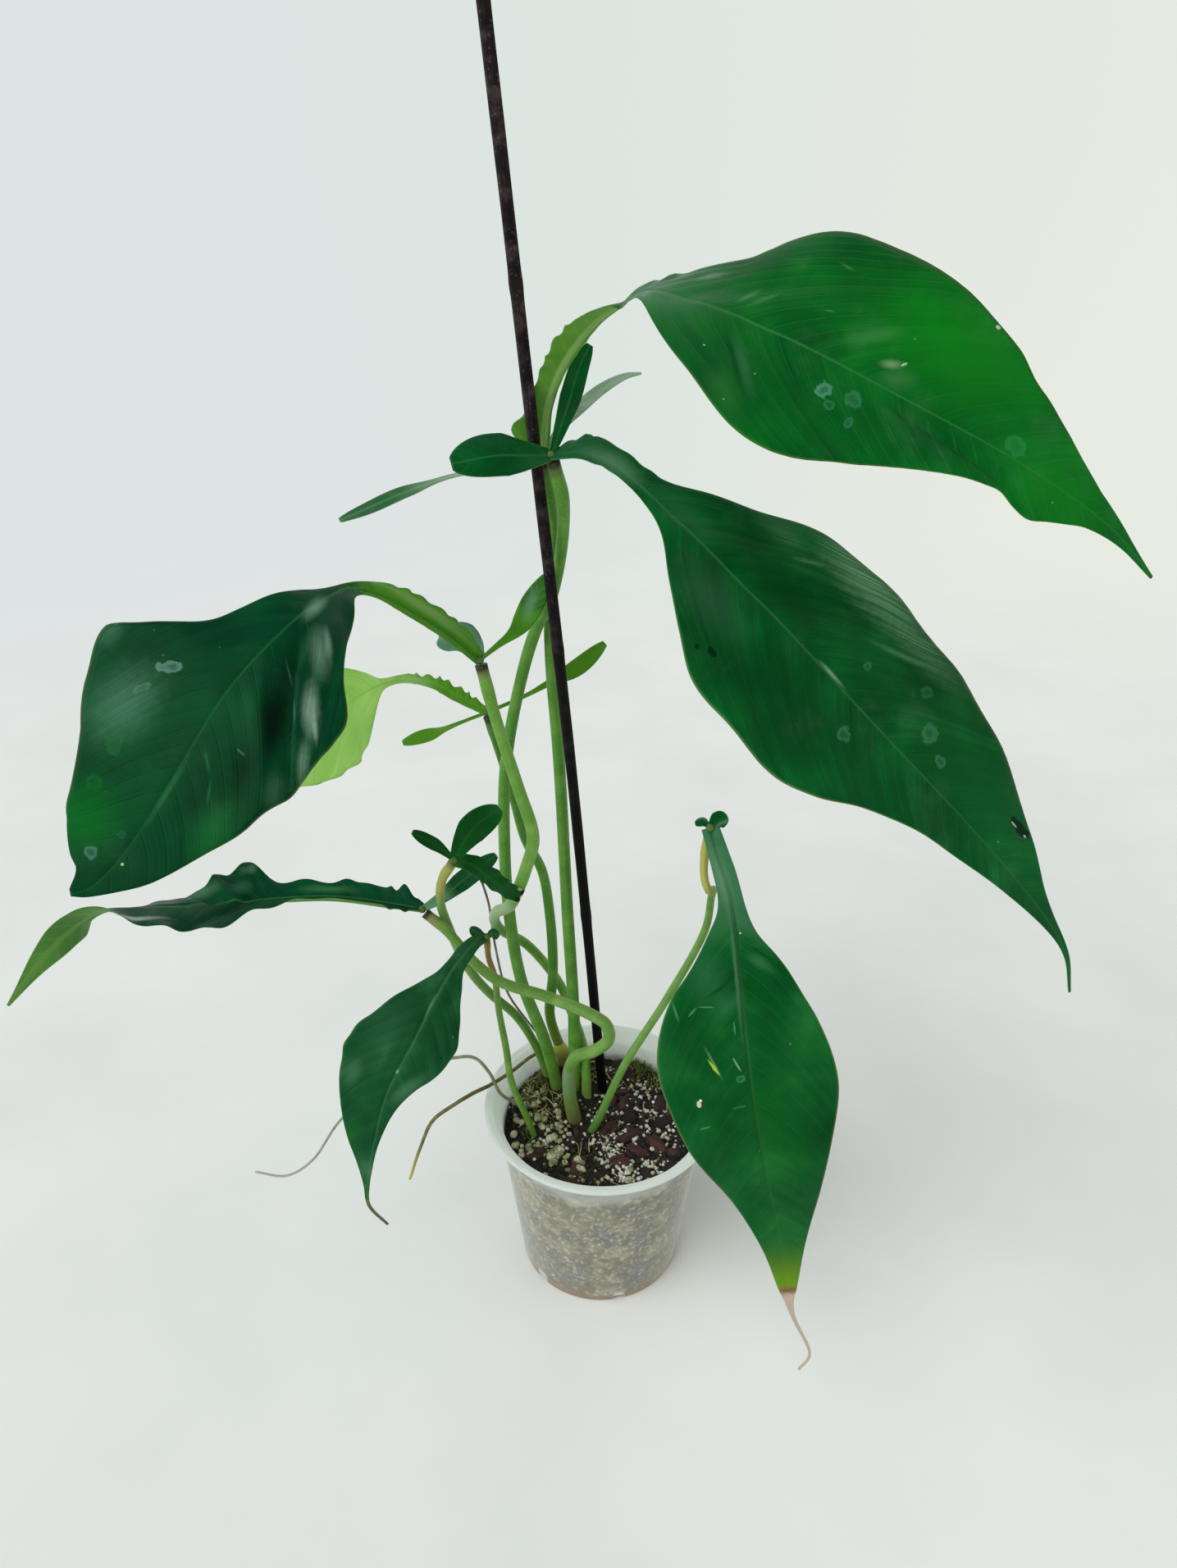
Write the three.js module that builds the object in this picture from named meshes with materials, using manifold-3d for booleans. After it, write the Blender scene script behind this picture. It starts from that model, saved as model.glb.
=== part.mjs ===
// A potted Philodendron joepii: eight leaves on long stalks, a plant stake and a few aerial roots in
// a frosted 12 cm nursery pot. Millimetres, +Z up, origin at the centre of the pot's foot, with the
// plant's front toward -Y.
import * as THREE from 'three';
import { mergeVertices } from 'three/addons/utils/BufferGeometryUtils.js';
import Module from 'manifold-3d';

const wasm = await Module();
wasm.setup();

// Clearances
const FIT_GAP = 0.3;
const HOLE_GAP = 0.6;

// Pot
const POT = {
  height: 100,
  rimRadius: 60,
  lipWidth: 5.6,
  lipHeight: 3.4,
  neckRadius: 53,
  footRadius: 42,
  footRound: 1.2,
  wall: 1.2,
  floor: 1.6,
  collarWidth: 1.6,
  collarHeight: 2.5,
  edgeRound: 0.8,
  lipUnderRound: 1,
  facets: 40,
  notches: 6,
  notchWidth: 7,
  notchHeight: 3.2,
  notchDepth: 2,
  notchTurn: 0.22,
};

// Potting mix
const MIX = {
  level: 84,
  mound: 6,
  moundAt: [-20, 26],
  moundReach: 26,
  rings: 6,
  sectors: 28,
  bump: 1.1,
  bumpLength: [5.3, 4.7],
  edgeGap: 0.4,
  edgeDrop: 1,
  perlite: 36,
  perliteRadius: [1.5, 2.5],
  perliteShare: 0.26,
  perliteMargin: 4,
  bark: 12,
  barkSize: [7, 5, 3],
  barkSpread: [0.7, 1.3],
  barkLift: 0.4,
  barkMargin: 8,
  seed: 7,
};

// Holes that the stems stand in
const HOLE = { sides: 9, steps: 10, points: 4 };

// Plant stake, its top end cut square
const STAKE = {
  path: [[-43.5, 13, 600], [-31.5, 15.5, 471], [-13.5, 19, 275], [1, 22, 89], [5, 23, 40]],
  radius: 2.5,
  steps: 12,
  sides: 10,
};

// Leaf build
const BLADE_THICKNESS = 0.8;
const LOBE_THICKNESS = 0.9;
const LEAST_HALF_WIDTH = 0.6;
const STALK_SIDES = 6;
const ROOT_SIDES = 5;
const KNOB_RADIUS = 1.9;
const SWELL_WIDTH = 10;
const FLAT = [[0, 0, 0], [1, 0, 0]];

// Basal lobe: narrow where it starts, full from the middle on, and rounded off at its end
const LOBE = {
  rows: 6,
  columns: 2,
  leastHalf: 0.8,
  startShare: 0.3,
  growth: 1.4,
  roundFrom: 0.6,
  roundSpan: 0.42,
};

const COLOUR = {
  pot: 0xd9e2dd,
  mix: 0x3b3128,
  stake: 0x2e2627,
  crown: 0x6d3f2a,
  stalk: 0x6c9a3c,
  upperLeaf: 0x1c6a2c,
  deepLeaf: 0x10512e,
  backLeaf: 0x86c34c,
  root: 0x7b6f42,
  thread: 0x7a6058,
};

const ROUGHNESS = { pot: 0.45, mix: 0.95, stake: 0.6, crown: 0.6, stalk: 0.45, leaf: 0.35, root: 0.7 };

// Stalks run from the blade down into the mix. Radii are [share of length, radius].
const STALKS = {
  upper_right: {
    path: [[-25, 24, 420], [-22, 28, 403], [-21, 31, 389], [-22, 35, 371], [-23.5, 36, 353],
      [-23, 33, 326], [-20, 29, 281], [-17, 25.5, 205], [-14, 22, 137], [-14, 21, 88], [-14, 21, 74]],
    radii: [[0, 2.4], [0.5, 2.8], [1, 3.2]],
    steps: 24,
  },
  middle_right: {
    path: [[-20, 8, 424], [-17, 12, 411], [-16.5, 18, 401], [-18.5, 26, 380], [-23, 28, 361],
      [-29, 31, 348], [-36, 33.5, 325],
      [-45, 33, 279], [-47, 31, 235], [-46, 28, 203], [-41, 25, 160], [-29, 22.5, 119],
      [-23.5, 22, 88], [-23, 22, 74]],
    radii: [[0, 2.5], [0.5, 2.8], [1, 3.2]],
    steps: 28,
  },
  left: {
    path: [[-51, 0, 342], [-46, -2, 320], [-37, -6, 288], [-31, -8, 264], [-35, -5, 245],
      [-40, 1, 228], [-45, 10, 214], [-51, 18, 206], [-53, 26, 195], [-50, 34, 183], [-38, 42, 168],
      [-22, 41, 144], [-14, 33, 126], [-9, 25, 112], [-7.5, 17, 88], [-7, 12, 74]],
    radii: [[0, 2.4], [0.4, 2.9], [0.6, 2.5], [1, 2.6]],
    steps: 40,
  },
  back: {
    path: [[-53, 42, 298], [-44, 46, 259], [-38, 48, 229], [-30, 49, 209], [-26, 42, 183],
      [-25, 36, 155], [-27, 33.5, 130], [-24.6, 33.2, 117],
      [-22.7, 33.1, 110.6]],
    radii: [[0, 2.1], [0.5, 2.5], [1, 2.7]],
    steps: 22,
  },
  long_left: {
    path: [[-81, -1, 216], [-73, -4, 211], [-60, -9, 196], [-48, -12, 187], [-27, -14, 180],
      [-6, -16, 171], [2, -17, 165], [3, -17, 156], [-4, -16, 148], [-12, -13, 142], [-16, -8, 128],
      [-16, -1, 103], [-14, 2, 86], [-13, 4, 74]],
    radii: [[0, 2.2], [0.4, 2.8], [0.75, 3.2], [1, 3.9]],
    steps: 34,
  },
  front_left: {
    path: [[-54, -4, 205], [-54, -1, 192], [-52, 0, 182], [-50, -4, 162], [-47, -8, 142],
      [-45, -10, 123], [-38, -10, 99], [-34, -8, 82], [-31, -7, 72]],
    radii: [[0, 1.3], [0.5, 1.7], [1, 1.6]],
    steps: 18,
  },
  small_lobed: {
    path: [[-66, -19, 257], [-71, -16, 248], [-74, -8, 231], [-74, 4, 211], [-66, 17, 172],
      [-57, 23, 152], [-44, 27.5, 133], [-34, 29, 110], [-28, 29, 88], [-25.5, 29, 74]],
    radii: [[0, 1.9], [0.5, 2.3], [1, 2.2]],
    steps: 24,
  },
  front_right: {
    path: [[41.5, -48, 290.5], [40.2, -51.5, 282], [40, -58, 275], [42, -60, 270.5], [44, -56, 269],
      [44, -51, 262], [43, -44, 240], [29, -34, 195], [11, -23, 146], [-2, -9, 95], [-5, -5, 84],
      [-7, -2, 74]],
    radii: [[0, 1.5], [0.2, 1.6], [0.5, 1.8], [1, 2.1]],
    steps: 36,
  },
};

// Crown stem, from inside the mix to its tip
const CROWN = {
  path: [[-17, 30, 74], [-18, 30, 90], [-20, 31.5, 101], [-22.5, 33, 110]],
  radii: [[0, 3.6], [0.3, 3.9], [0.42, 4.3], [0.5, 3.7], [0.66, 4.2], [0.74, 3.5], [0.9, 3.9], [1, 2.9]],
  steps: 14,
};

// Blades. rib: the midrib from stalk to tip. faces: [share, direction of the upper face].
// widths: [share, half width left of the rib, half width right of it], seen from the upper face with
// the tip ahead. fold: rise of each half in degrees. waves: ripples of the margin.
const BLADES = {
  upper_right: {
    colour: 'upperLeaf',
    rib: [[-25, 24, 423.5], [-22.5, 22, 443], [-17, 17, 458], [-6, 7, 474.5], [4.5, -7, 484],
      [14, -24, 490], [30.5, -44, 488.5], [56, -58, 480], [94, -72, 463], [129, -82, 446],
      [159, -88, 427], [174, -90, 412]],
    faces: [[0, [-0.1, 0.95, 0.2]], [0.1, [-0.15, 0.93, 0.3]], [0.2, [-0.5, 0.6, 0.6]],
      [0.27, [-0.4, 0.2, 0.85]], [0.33, [-0.1, -0.35, 0.9]], [0.6, [-0.1, -0.65, 0.75]],
      [1, [0.1, -0.75, 0.65]]],
    widths: [[0, 2.5, 2.5], [0.03, 2.5, 13], [0.06, 2.2, 8], [0.12, 2.4, 7.5], [0.17, 3, 9], [0.22, 3, 7],
      [0.28, 5, 4], [0.31, 11, 5], [0.35, 17, 8],
      [0.4, 28, 16], [0.45, 41, 27], [0.5, 48, 36], [0.55, 50, 39], [0.6, 50, 37], [0.65, 47, 29],
      [0.7, 43, 21], [0.75, 36, 15.5], [0.8, 26, 12.5], [0.85, 16, 12], [0.9, 7.5, 6], [0.95, 2.5, 2.5],
      [1, 0.6, 0.6]],
    waves: { count: 7, height: 0.9, from: 0.05 },
    rows: 24,
    columns: 4,
    lobes: [
      { path: [[-19, 28, 432], [-12, 31, 439], [-2, 34, 447], [8, 36, 452],
        [14.5, 37, 453]], half: 2.6, face: [0.3, -0.8, 0.5] },
      { path: [[-33, 25, 420], [-60, 19, 417], [-77, 11, 413], [-103, -3, 405]],
        half: 4, face: [0.1, -0.55, 0.8] },
    ],
  },
  middle_right: {
    colour: 'deepLeaf',
    rib: [[-21, 8.5, 427.5], [-10, 4, 430], [2, -2, 427], [20, -14, 415], [41, -27, 398],
      [66, -40, 376], [99, -54, 344], [147, -70, 297], [171, -78, 270], [180, -82, 256], [184, -84, 239]],
    faces: [[0, [-0.1, -0.4, 0.9]], [0.2, [0.1, -0.5, 0.85]], [0.4, [0.1, -0.6, 0.75]],
      [1, [0.3, -0.7, 0.6]]],
    widths: [[0, 3, 3], [0.04, 10, 4.5], [0.1, 8, 3.5], [0.15, 10.5, 4.5], [0.2, 20, 10],
      [0.25, 29, 22], [0.3, 38, 34], [0.35, 43, 43], [0.42, 46, 45], [0.5, 46, 45], [0.55, 44.5, 39],
      [0.6, 43, 28], [0.65, 39.5, 21], [0.7, 34, 16], [0.8, 18, 9], [0.86, 7, 5], [0.92, 2, 2],
      [1, 0.6, 0.6]],
    waves: { count: 8, height: 0.8, from: 0.05 },
    rows: 24,
    columns: 4,
    lobes: [
      { path: [[-32, 1, 429], [-41, -3, 430], [-58, -8, 428]], half: 9,
        face: [0, -0.75, 0.65] },
      { path: [[-17.5, 12, 437], [-13.6, 20, 447], [-10.5, 26, 456.5], [-6, 29, 465]],
        half: 4.6, face: [0.5, -0.8, 0.3] },
    ],
  },
  left: {
    colour: 'deepLeaf',
    rib: [[-51.5, 0, 345.5], [-61, -8, 359], [-74, -19, 374], [-86, -28, 385], [-95, -38, 390],
      [-102, -51, 390], [-110, -64, 387], [-128, -87, 372], [-146, -107, 347], [-164, -127, 323],
      [-177, -131, 318]],
    faces: [[0, [0, -0.75, 0.65]], [0.25, [0, -0.7, 0.7]], [0.5, [0.1, -0.6, 0.8]],
      [1, [0.1, -0.8, 0.6]]],
    widths: [[0, 2.5, 3], [0.06, 3, 6], [0.2, 3.5, 6.5], [0.3, 3, 3], [0.35, 7, 3], [0.4, 15, 8.5],
      [0.45, 21, 13], [0.5, 29, 18], [0.55, 39, 24], [0.6, 41, 39], [0.63, 40.5, 49], [0.7, 38, 44],
      [0.75, 33, 39], [0.8, 29, 33], [0.85, 22, 28], [0.9, 14, 23.5], [0.95, 6, 17.5], [1, 0.6, 7]],
    waves: { count: 7, height: 1, from: 0.02 },
    rows: 24,
    columns: 4,
    lobes: [
      { path: [[-45, 6, 349], [-36.5, 13, 354], [-29.5, 20, 364], [-23, 22, 375]], half: 4.8,
        face: [0.15, -0.95, 0.3] },
      { path: [[-55, 8, 348], [-60, 13, 350], [-71, 22, 346]], half: 7,
        face: [-0.1, -0.7, 0.7] },
    ],
  },
  back: {
    colour: 'backLeaf',
    rib: [[-53.5, 42, 301.5], [-68, 49, 306], [-79, 54, 310], [-91, 60, 310], [-103, 66, 306],
      [-114, 71, 299], [-124, 75, 291], [-140, 81, 275], [-157, 87, 257], [-172, 91, 241],
      [-186, 94, 229]],
    faces: [[0, [-0.1, -0.5, 0.85]], [0.35, [-0.1, -0.55, 0.8]], [1, [-0.3, -0.75, 0.6]]],
    widths: [[0, 2.5, 2.5], [0.1, 5, 6], [0.3, 4, 4], [0.36, 8, 6], [0.4, 31, 11], [0.5, 33, 22],
      [0.6, 30, 28], [0.7, 25, 25], [0.8, 17, 17], [0.9, 8, 8], [1, 0.6, 0.6]],
    waves: { count: 8, height: 1.3, from: 0.02 },
    rows: 22,
    columns: 4,
    lobes: [
      { path: [[-36, 46, 308], [-25, 47, 314], [-11, 48, 322], [1, 49, 333]],
        half: 4.5, face: [0.2, -0.8, 0.5] },
      { path: [[-66, 38, 298], [-79, 34, 294], [-92, 31, 291]], half: 4,
        face: [0.1, -0.5, 0.8] },
    ],
  },
  long_left: {
    colour: 'deepLeaf',
    rib: [[-84, 0, 220], [-101, 5, 220], [-126, 6, 223], [-148, 2, 225], [-176, -8, 229],
      [-200, -22, 237], [-219, -38, 244], [-233, -54, 236], [-248, -68, 219]],
    faces: [[0, [-0.1, 0.2, 0.95]], [0.35, [0, 0.3, 0.93]], [0.68, [0, 0.3, 0.93]],
      [0.78, [-0.3, 0.8, 0.45]], [0.86, [-0.4, 0.9, 0.1]], [1, [-0.4, 0.9, 0.1]]],
    widths: [[0, 3, 3], [0.06, 8, 9], [0.1, 4, 8], [0.2, 3.5, 9], [0.25, 3.2, 7.5], [0.3, 3, 9.5],
      [0.35, 7, 11], [0.4, 10, 22], [0.45, 15.5, 19], [0.5, 20, 13], [0.55, 19, 12], [0.6, 18, 12],
      [0.65, 17, 12], [0.7, 14, 12], [0.76, 10, 10], [0.8, 9, 10], [0.86, 7, 7.5], [0.93, 4, 4],
      [1, 0.6, 0.6]],
    fold: [[0, 10, 45], [0.25, 0, 45], [0.33, -8, 40], [0.42, -14, 35], [0.5, -16, 15], [0.6, -16, -15],
      [0.7, -12, -12], [0.8, 0, 0], [1, 0, 0]],
    waves: { count: 9, height: 1.2, from: 0.05 },
    rows: 24,
    columns: 4,
    lobes: [
      { path: [[-74, 0, 227], [-66, -1, 235], [-56, -3, 245], [-48, -5, 253]], half: 4.5,
        face: [0.3, -0.7, 0.6] },
    ],
  },
  front_left: {
    colour: 'deepLeaf',
    rib: [[-54, -6, 208.5], [-59, -14, 211], [-66, -23, 207], [-72, -31, 201], [-84, -48, 183],
      [-96, -60, 163], [-102, -67, 143], [-107, -72, 118], [-107, -73, 106], [-99, -75, 96]],
    faces: [[0, [0.2, -0.6, 0.75]], [1, [-0.2, -0.8, 0.5]]],
    widths: [[0, 2, 2], [0.1, 4, 4], [0.15, 5, 4], [0.2, 9, 6], [0.25, 12, 11.5], [0.3, 16, 17],
      [0.37, 19, 23], [0.45, 15.5, 27], [0.5, 11.5, 26], [0.6, 5.5, 20], [0.7, 2.2, 13], [0.8, 1.4, 4.5],
      [0.86, 1, 1.4], [1, 0.6, 0.6]],
    waves: { count: 5, height: 0.5, from: 0.1 },
    rows: 20,
    columns: 4,
    lobes: [
      { path: [[-58, -8, 212], [-61, -9, 216]], half: 2.5, face: [0.3, -0.8, 0.5] },
      { path: [[-51, -5, 210], [-49, -5, 207]], half: 2.2, face: [0.2, -0.7, 0.7] },
    ],
  },
  small_lobed: {
    colour: 'deepLeaf',
    rib: [[-65, -20.5, 260.5], [-58, -19, 257], [-49, -15, 246], [-43, -11, 238], [-37, -7, 232]],
    faces: [[0, [-0.1, -0.7, 0.7]], [1, [-0.3, -0.7, 0.6]]],
    widths: [[0, 3, 3], [0.3, 5, 3.3], [0.7, 4.2, 3.6], [1, 3.2, 3]],
    waves: { count: 2, height: 0.4, from: 0.1 },
    rows: 8,
    columns: 4,
    lobes: [
      { path: [[-60, -20, 270], [-55, -20, 277], [-44, -20, 286]], half: 6.5,
        face: [0.1, -0.9, 0.4] },
      { path: [[-71, -22, 268], [-76, -24, 273], [-81, -26, 278]], half: 2.8,
        face: [0.2, -0.8, 0.5] },
    ],
  },
  front_right: {
    colour: 'deepLeaf',
    rib: [[42, -50, 294.5], [45, -57, 286], [50, -66, 271], [54, -78, 244], [56, -85, 226],
      [64, -97, 174], [75, -104, 125], [84, -107, 77], [94, -109, 50], [90, -109, 40]],
    faces: [[0, [-0.1, -0.9, 0.3]], [1, [-0.1, -0.9, 0.4]]],
    widths: [[0, 2, 2], [0.06, 4.5, 4], [0.12, 5, 6], [0.16, 8, 11.5], [0.2, 15.5, 18],
      [0.25, 23, 28], [0.3, 29, 34.5], [0.36, 33.5, 37.5], [0.42, 34.5, 35.5], [0.5, 30, 29.5],
      [0.6, 21, 17], [0.7, 10.5, 8.6], [0.8, 4.2, 3.6], [0.86, 2, 2], [0.9, 1, 1], [1, 0.6, 0.6]],
    waves: { count: 5, height: 0.6, from: 0.1 },
    rows: 24,
    columns: 4,
    lobes: [
      { path: [[38, -49, 297], [35, -49, 296]], half: 2.6, face: [0.1, -0.9, 0.4] },
      { path: [[46, -50, 298], [49, -51, 297]], half: 3.4, face: [0.1, -0.9, 0.4] },
    ],
  },
};

// Aerial roots: one from the crown over the rim, one from the mix over the rim, one fine thread
const ROOTS = {
  root_long: {
    colour: 'root',
    path: [[-25.3, 33.2, 104], [-35, 32, 103], [-47, 20, 102], [-57, 8, 104], [-66, -2, 107],
      [-75, -8, 105], [-85, -12, 99], [-93, -13, 80], [-100, -12, 57]],
    radii: [[0, 0.9], [0.5, 1], [1, 0.7]],
    steps: 20,
  },
  root_back_left: {
    colour: 'root',
    path: [[-39, 6, 78], [-41, 5, 91], [-46, 3, 97], [-52, 3, 102.5], [-58, 12, 108], [-66, 20, 111],
      [-78, 27, 105], [-94, 32, 95], [-118, 32, 80], [-143, 26, 61], [-157, 10, 47], [-170, 4, 42],
      [-186, 2, 47]],
    radii: [[0, 0.9], [0.5, 0.8], [1, 0.6]],
    steps: 30,
  },
  root_thread: {
    colour: 'thread',
    path: [[-58, 24, 219], [-56, 31, 201], [-54, 33, 174], [-49, 35, 143], [-39, 35.5, 123],
      [-30, 36.5, 108], [-24.3, 34.8, 103]],
    radii: [[0, 0.6], [1, 0.6]],
    steps: 16,
  },
};

/** The number at `share` on a smooth curve through the rows [share, value, ...] of a table. */
function eased(table, share, column) {
  const last = table.length - 1;
  let i = 0;
  while (i < last - 1 && share > table[i + 1][0]) i += 1;
  const slope = (k) => {
    const before = table[Math.max(k - 1, 0)];
    const after = table[Math.min(k + 1, last)];
    return (after[column] - before[column]) / (after[0] - before[0]);
  };
  const span = table[i + 1][0] - table[i][0];
  const t = THREE.MathUtils.clamp((share - table[i][0]) / span, 0, 1);
  const t2 = t * t;
  const t3 = t2 * t;
  return (2 * t3 - 3 * t2 + 1) * table[i][column] + (t3 - 2 * t2 + t) * span * slope(i)
    + (3 * t2 - 2 * t3) * table[i + 1][column] + (t3 - t2) * span * slope(i + 1);
}

/** A repeatable random source, 0 to 1. */
function seeded(seed) {
  let state = seed;
  return () => {
    state = (state * 1664525 + 1013904223) % 4294967296;
    return state / 4294967296;
  };
}

/** A smooth curve through the given points. */
function smoothCurve(points) {
  return new THREE.CatmullRomCurve3(points.map((p) => new THREE.Vector3(...p)), false, 'centripetal');
}

/** A mesh from its points and triangles. */
function geometryFrom(positions, triangles) {
  const geometry = new THREE.BufferGeometry();
  geometry.setAttribute('position', new THREE.Float32BufferAttribute(positions, 3));
  geometry.setIndex(triangles);
  return geometry;
}

/** A closed round rod along a curve, with radii [share of length, radius]. */
function rod({ path, radii, steps, sides = STALK_SIDES }, extra = 0) {
  const curve = smoothCurve(path);
  const frames = curve.computeFrenetFrames(steps, false);
  const positions = [];
  const triangles = [];
  for (let i = 0; i <= steps; i += 1) {
    const centre = curve.getPointAt(i / steps);
    const radius = eased(radii, i / steps, 1) + extra;
    for (let k = 0; k < sides; k += 1) {
      const angle = (2 * Math.PI * k) / sides;
      const out = frames.normals[i].clone().multiplyScalar(Math.cos(angle))
        .addScaledVector(frames.binormals[i], Math.sin(angle));
      positions.push(...centre.clone().addScaledVector(out, radius).toArray());
    }
  }
  for (let i = 0; i < steps; i += 1) {
    for (let k = 0; k < sides; k += 1) {
      const a = i * sides + k;
      const b = i * sides + ((k + 1) % sides);
      triangles.push(a, b, b + sides, a, b + sides, a + sides);
    }
  }
  for (let k = 1; k < sides - 1; k += 1) {
    triangles.push(0, k + 1, k);
    triangles.push(steps * sides, steps * sides + k, steps * sides + k + 1);
  }
  return geometryFrom(positions, triangles);
}

/** A thin closed sheet with alike triangles on both faces, from a grid of middle points. */
function sheet(points, rows, columns, thickness) {
  const at = (i, j) => points[i * (columns + 1) + j];
  const positions = [];
  for (const side of [1, -1]) {
    for (let i = 0; i <= rows; i += 1) {
      for (let j = 0; j <= columns; j += 1) {
        const along = at(Math.min(i + 1, rows), j).clone().sub(at(Math.max(i - 1, 0), j));
        const across = at(i, Math.min(j + 1, columns)).clone().sub(at(i, Math.max(j - 1, 0)));
        const normal = across.cross(along).normalize();
        positions.push(...at(i, j).clone().addScaledVector(normal, (side * thickness) / 2).toArray());
      }
    }
  }
  const under = (rows + 1) * (columns + 1);
  const id = (i, j) => i * (columns + 1) + j;
  const triangles = [];
  for (let i = 0; i < rows; i += 1) {
    for (let j = 0; j < columns; j += 1) {
      const [a, b, c, d] = [id(i, j), id(i, j + 1), id(i + 1, j + 1), id(i + 1, j)];
      triangles.push(a, b, c, a, c, d);
      triangles.push(under + a, under + c, under + b, under + a, under + d, under + c);
    }
  }
  const edge = [];
  for (let j = 0; j < columns; j += 1) edge.push(id(0, j));
  for (let i = 0; i < rows; i += 1) edge.push(id(i, columns));
  for (let j = columns; j > 0; j -= 1) edge.push(id(rows, j));
  for (let i = rows; i > 0; i -= 1) edge.push(id(i, 0));
  edge.forEach((a, k) => {
    const b = edge[(k + 1) % edge.length];
    triangles.push(a, under + a, under + b, a, under + b, b);
  });
  return geometryFrom(positions, triangles);
}

/** The leaf blade with its winged neck, as one rippled sheet along the midrib. */
function blade({ rib, faces, widths, fold = FLAT, waves, rows, columns }) {
  const curve = smoothCurve(rib);
  const facing = faces.map(([share, direction]) => [share, ...direction]);
  const points = [];
  for (let i = 0; i <= rows; i += 1) {
    const share = i / rows;
    const middle = curve.getPointAt(share);
    const ahead = curve.getTangentAt(share);
    const up = new THREE.Vector3(...[1, 2, 3].map((k) => eased(facing, share, k)));
    up.addScaledVector(ahead, -up.dot(ahead)).normalize();
    const right = ahead.clone().cross(up);
    for (let j = 0; j <= columns; j += 1) {
      const v = (2 * j) / columns - 1;
      const half = Math.max(eased(widths, share, v < 0 ? 1 : 2), LEAST_HALF_WIDTH);
      const swell = Math.max(Math.sin(Math.PI * share), 0) * Math.min(half / SWELL_WIDTH, 1);
      const rise = THREE.MathUtils.degToRad(eased(fold, share, v < 0 ? 1 : 2));
      const phase = v < 0 ? 0 : Math.PI / 2;
      const ripple = waves.height * swell * v * v
        * Math.sin(2 * Math.PI * waves.count * (share - waves.from) + phase);
      points.push(middle.clone().addScaledVector(right, v * half * Math.cos(rise))
        .addScaledVector(up, Math.abs(v) * half * Math.sin(rise) + ripple));
    }
  }
  return sheet(points, rows, columns, BLADE_THICKNESS);
}

/** A small round-ended basal lobe. */
function lobe({ path, half, face }) {
  const { rows, columns } = LOBE;
  const curve = smoothCurve(path);
  const points = [];
  for (let i = 0; i <= rows; i += 1) {
    const share = i / rows;
    const middle = curve.getPointAt(share);
    const ahead = curve.getTangentAt(share);
    const up = new THREE.Vector3(...face);
    up.addScaledVector(ahead, -up.dot(ahead)).normalize();
    const right = ahead.clone().cross(up);
    const grow = Math.min(1, LOBE.startShare + LOBE.growth * share);
    const past = Math.max((share - LOBE.roundFrom) / LOBE.roundSpan, 0);
    const width = Math.max(half * grow * Math.sqrt(Math.max(1 - past ** 2, 0)), LOBE.leastHalf);
    for (let j = 0; j <= columns; j += 1) {
      const v = (2 * j) / columns - 1;
      points.push(middle.clone().addScaledVector(right, v * width));
    }
  }
  return sheet(points, rows, columns, LOBE_THICKNESS);
}

/** A closed geometry as a solid for joining and cutting. */
function solid(geometry) {
  const bare = geometry.clone();
  bare.deleteAttribute('normal');
  bare.deleteAttribute('uv');
  const merged = mergeVertices(bare, 1e-4);
  return new wasm.Manifold(new wasm.Mesh({
    numProp: 3,
    vertProperties: new Float32Array(merged.attributes.position.array),
    triVerts: new Uint32Array(merged.index.array),
  }));
}

/** A joined or cut solid back as a geometry. */
function geometryOf(manifold) {
  const mesh = manifold.getMesh();
  return geometryFrom(Array.from(mesh.vertProperties), Array.from(mesh.triVerts));
}

/** A geometry moved and turned into place. */
function placed(geometry, position, rotation = [0, 0, 0]) {
  const matrix = new THREE.Matrix4().makeRotationFromEuler(new THREE.Euler(...rotation));
  matrix.setPosition(...position);
  return geometry.clone().applyMatrix4(matrix);
}

/** The whole blade of one leaf: sheet, lobes and the knob where they meet the stalk. */
function leaf(spec) {
  const start = spec.rib[0];
  let joined = solid(blade(spec));
  for (const one of spec.lobes) joined = joined.add(solid(lobe({ ...one, path: [start, ...one.path] })));
  const knob = placed(new THREE.IcosahedronGeometry(KNOB_RADIUS), start);
  return geometryOf(joined.add(solid(knob)));
}

/** The pot's wall, floor and lip, turned in one piece, with drain notches round the foot. */
function pot() {
  const { height, rimRadius, neckRadius, footRadius, footRound, wall, floor, edgeRound } = POT;
  const lipInner = rimRadius - POT.lipWidth;
  const lipUnder = height - POT.lipHeight;
  const neckTop = lipUnder - POT.collarHeight;
  const profile = [
    [0, 0], [footRadius - footRound, 0], [footRadius, footRound],
    [neckRadius, neckTop], [neckRadius + POT.collarWidth, lipUnder],
    [rimRadius - edgeRound, lipUnder + POT.lipUnderRound],
    [rimRadius, lipUnder + POT.lipUnderRound + edgeRound], [rimRadius, height - edgeRound],
    [rimRadius - edgeRound, height], [lipInner + edgeRound, height], [lipInner, height - edgeRound],
    [neckRadius - wall, neckTop], [footRadius - wall, floor + edgeRound],
    [footRadius - wall - edgeRound, floor], [0, floor],
  ].map(([radius, z]) => new THREE.Vector2(radius, z));
  const turned = new THREE.LatheGeometry(profile, POT.facets).rotateX(Math.PI / 2);
  let body = solid(turned);
  for (let k = 0; k < POT.notches; k += 1) {
    const angle = POT.notchTurn - Math.PI / 2 + (2 * Math.PI * k) / POT.notches;
    const cutter = new THREE.BoxGeometry(2 * POT.notchDepth, POT.notchWidth, 2 * POT.notchHeight);
    const at = [footRadius * Math.cos(angle), footRadius * Math.sin(angle), 0];
    body = body.subtract(solid(placed(cutter, at, [0, 0, angle])));
  }
  return geometryOf(body);
}

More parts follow.
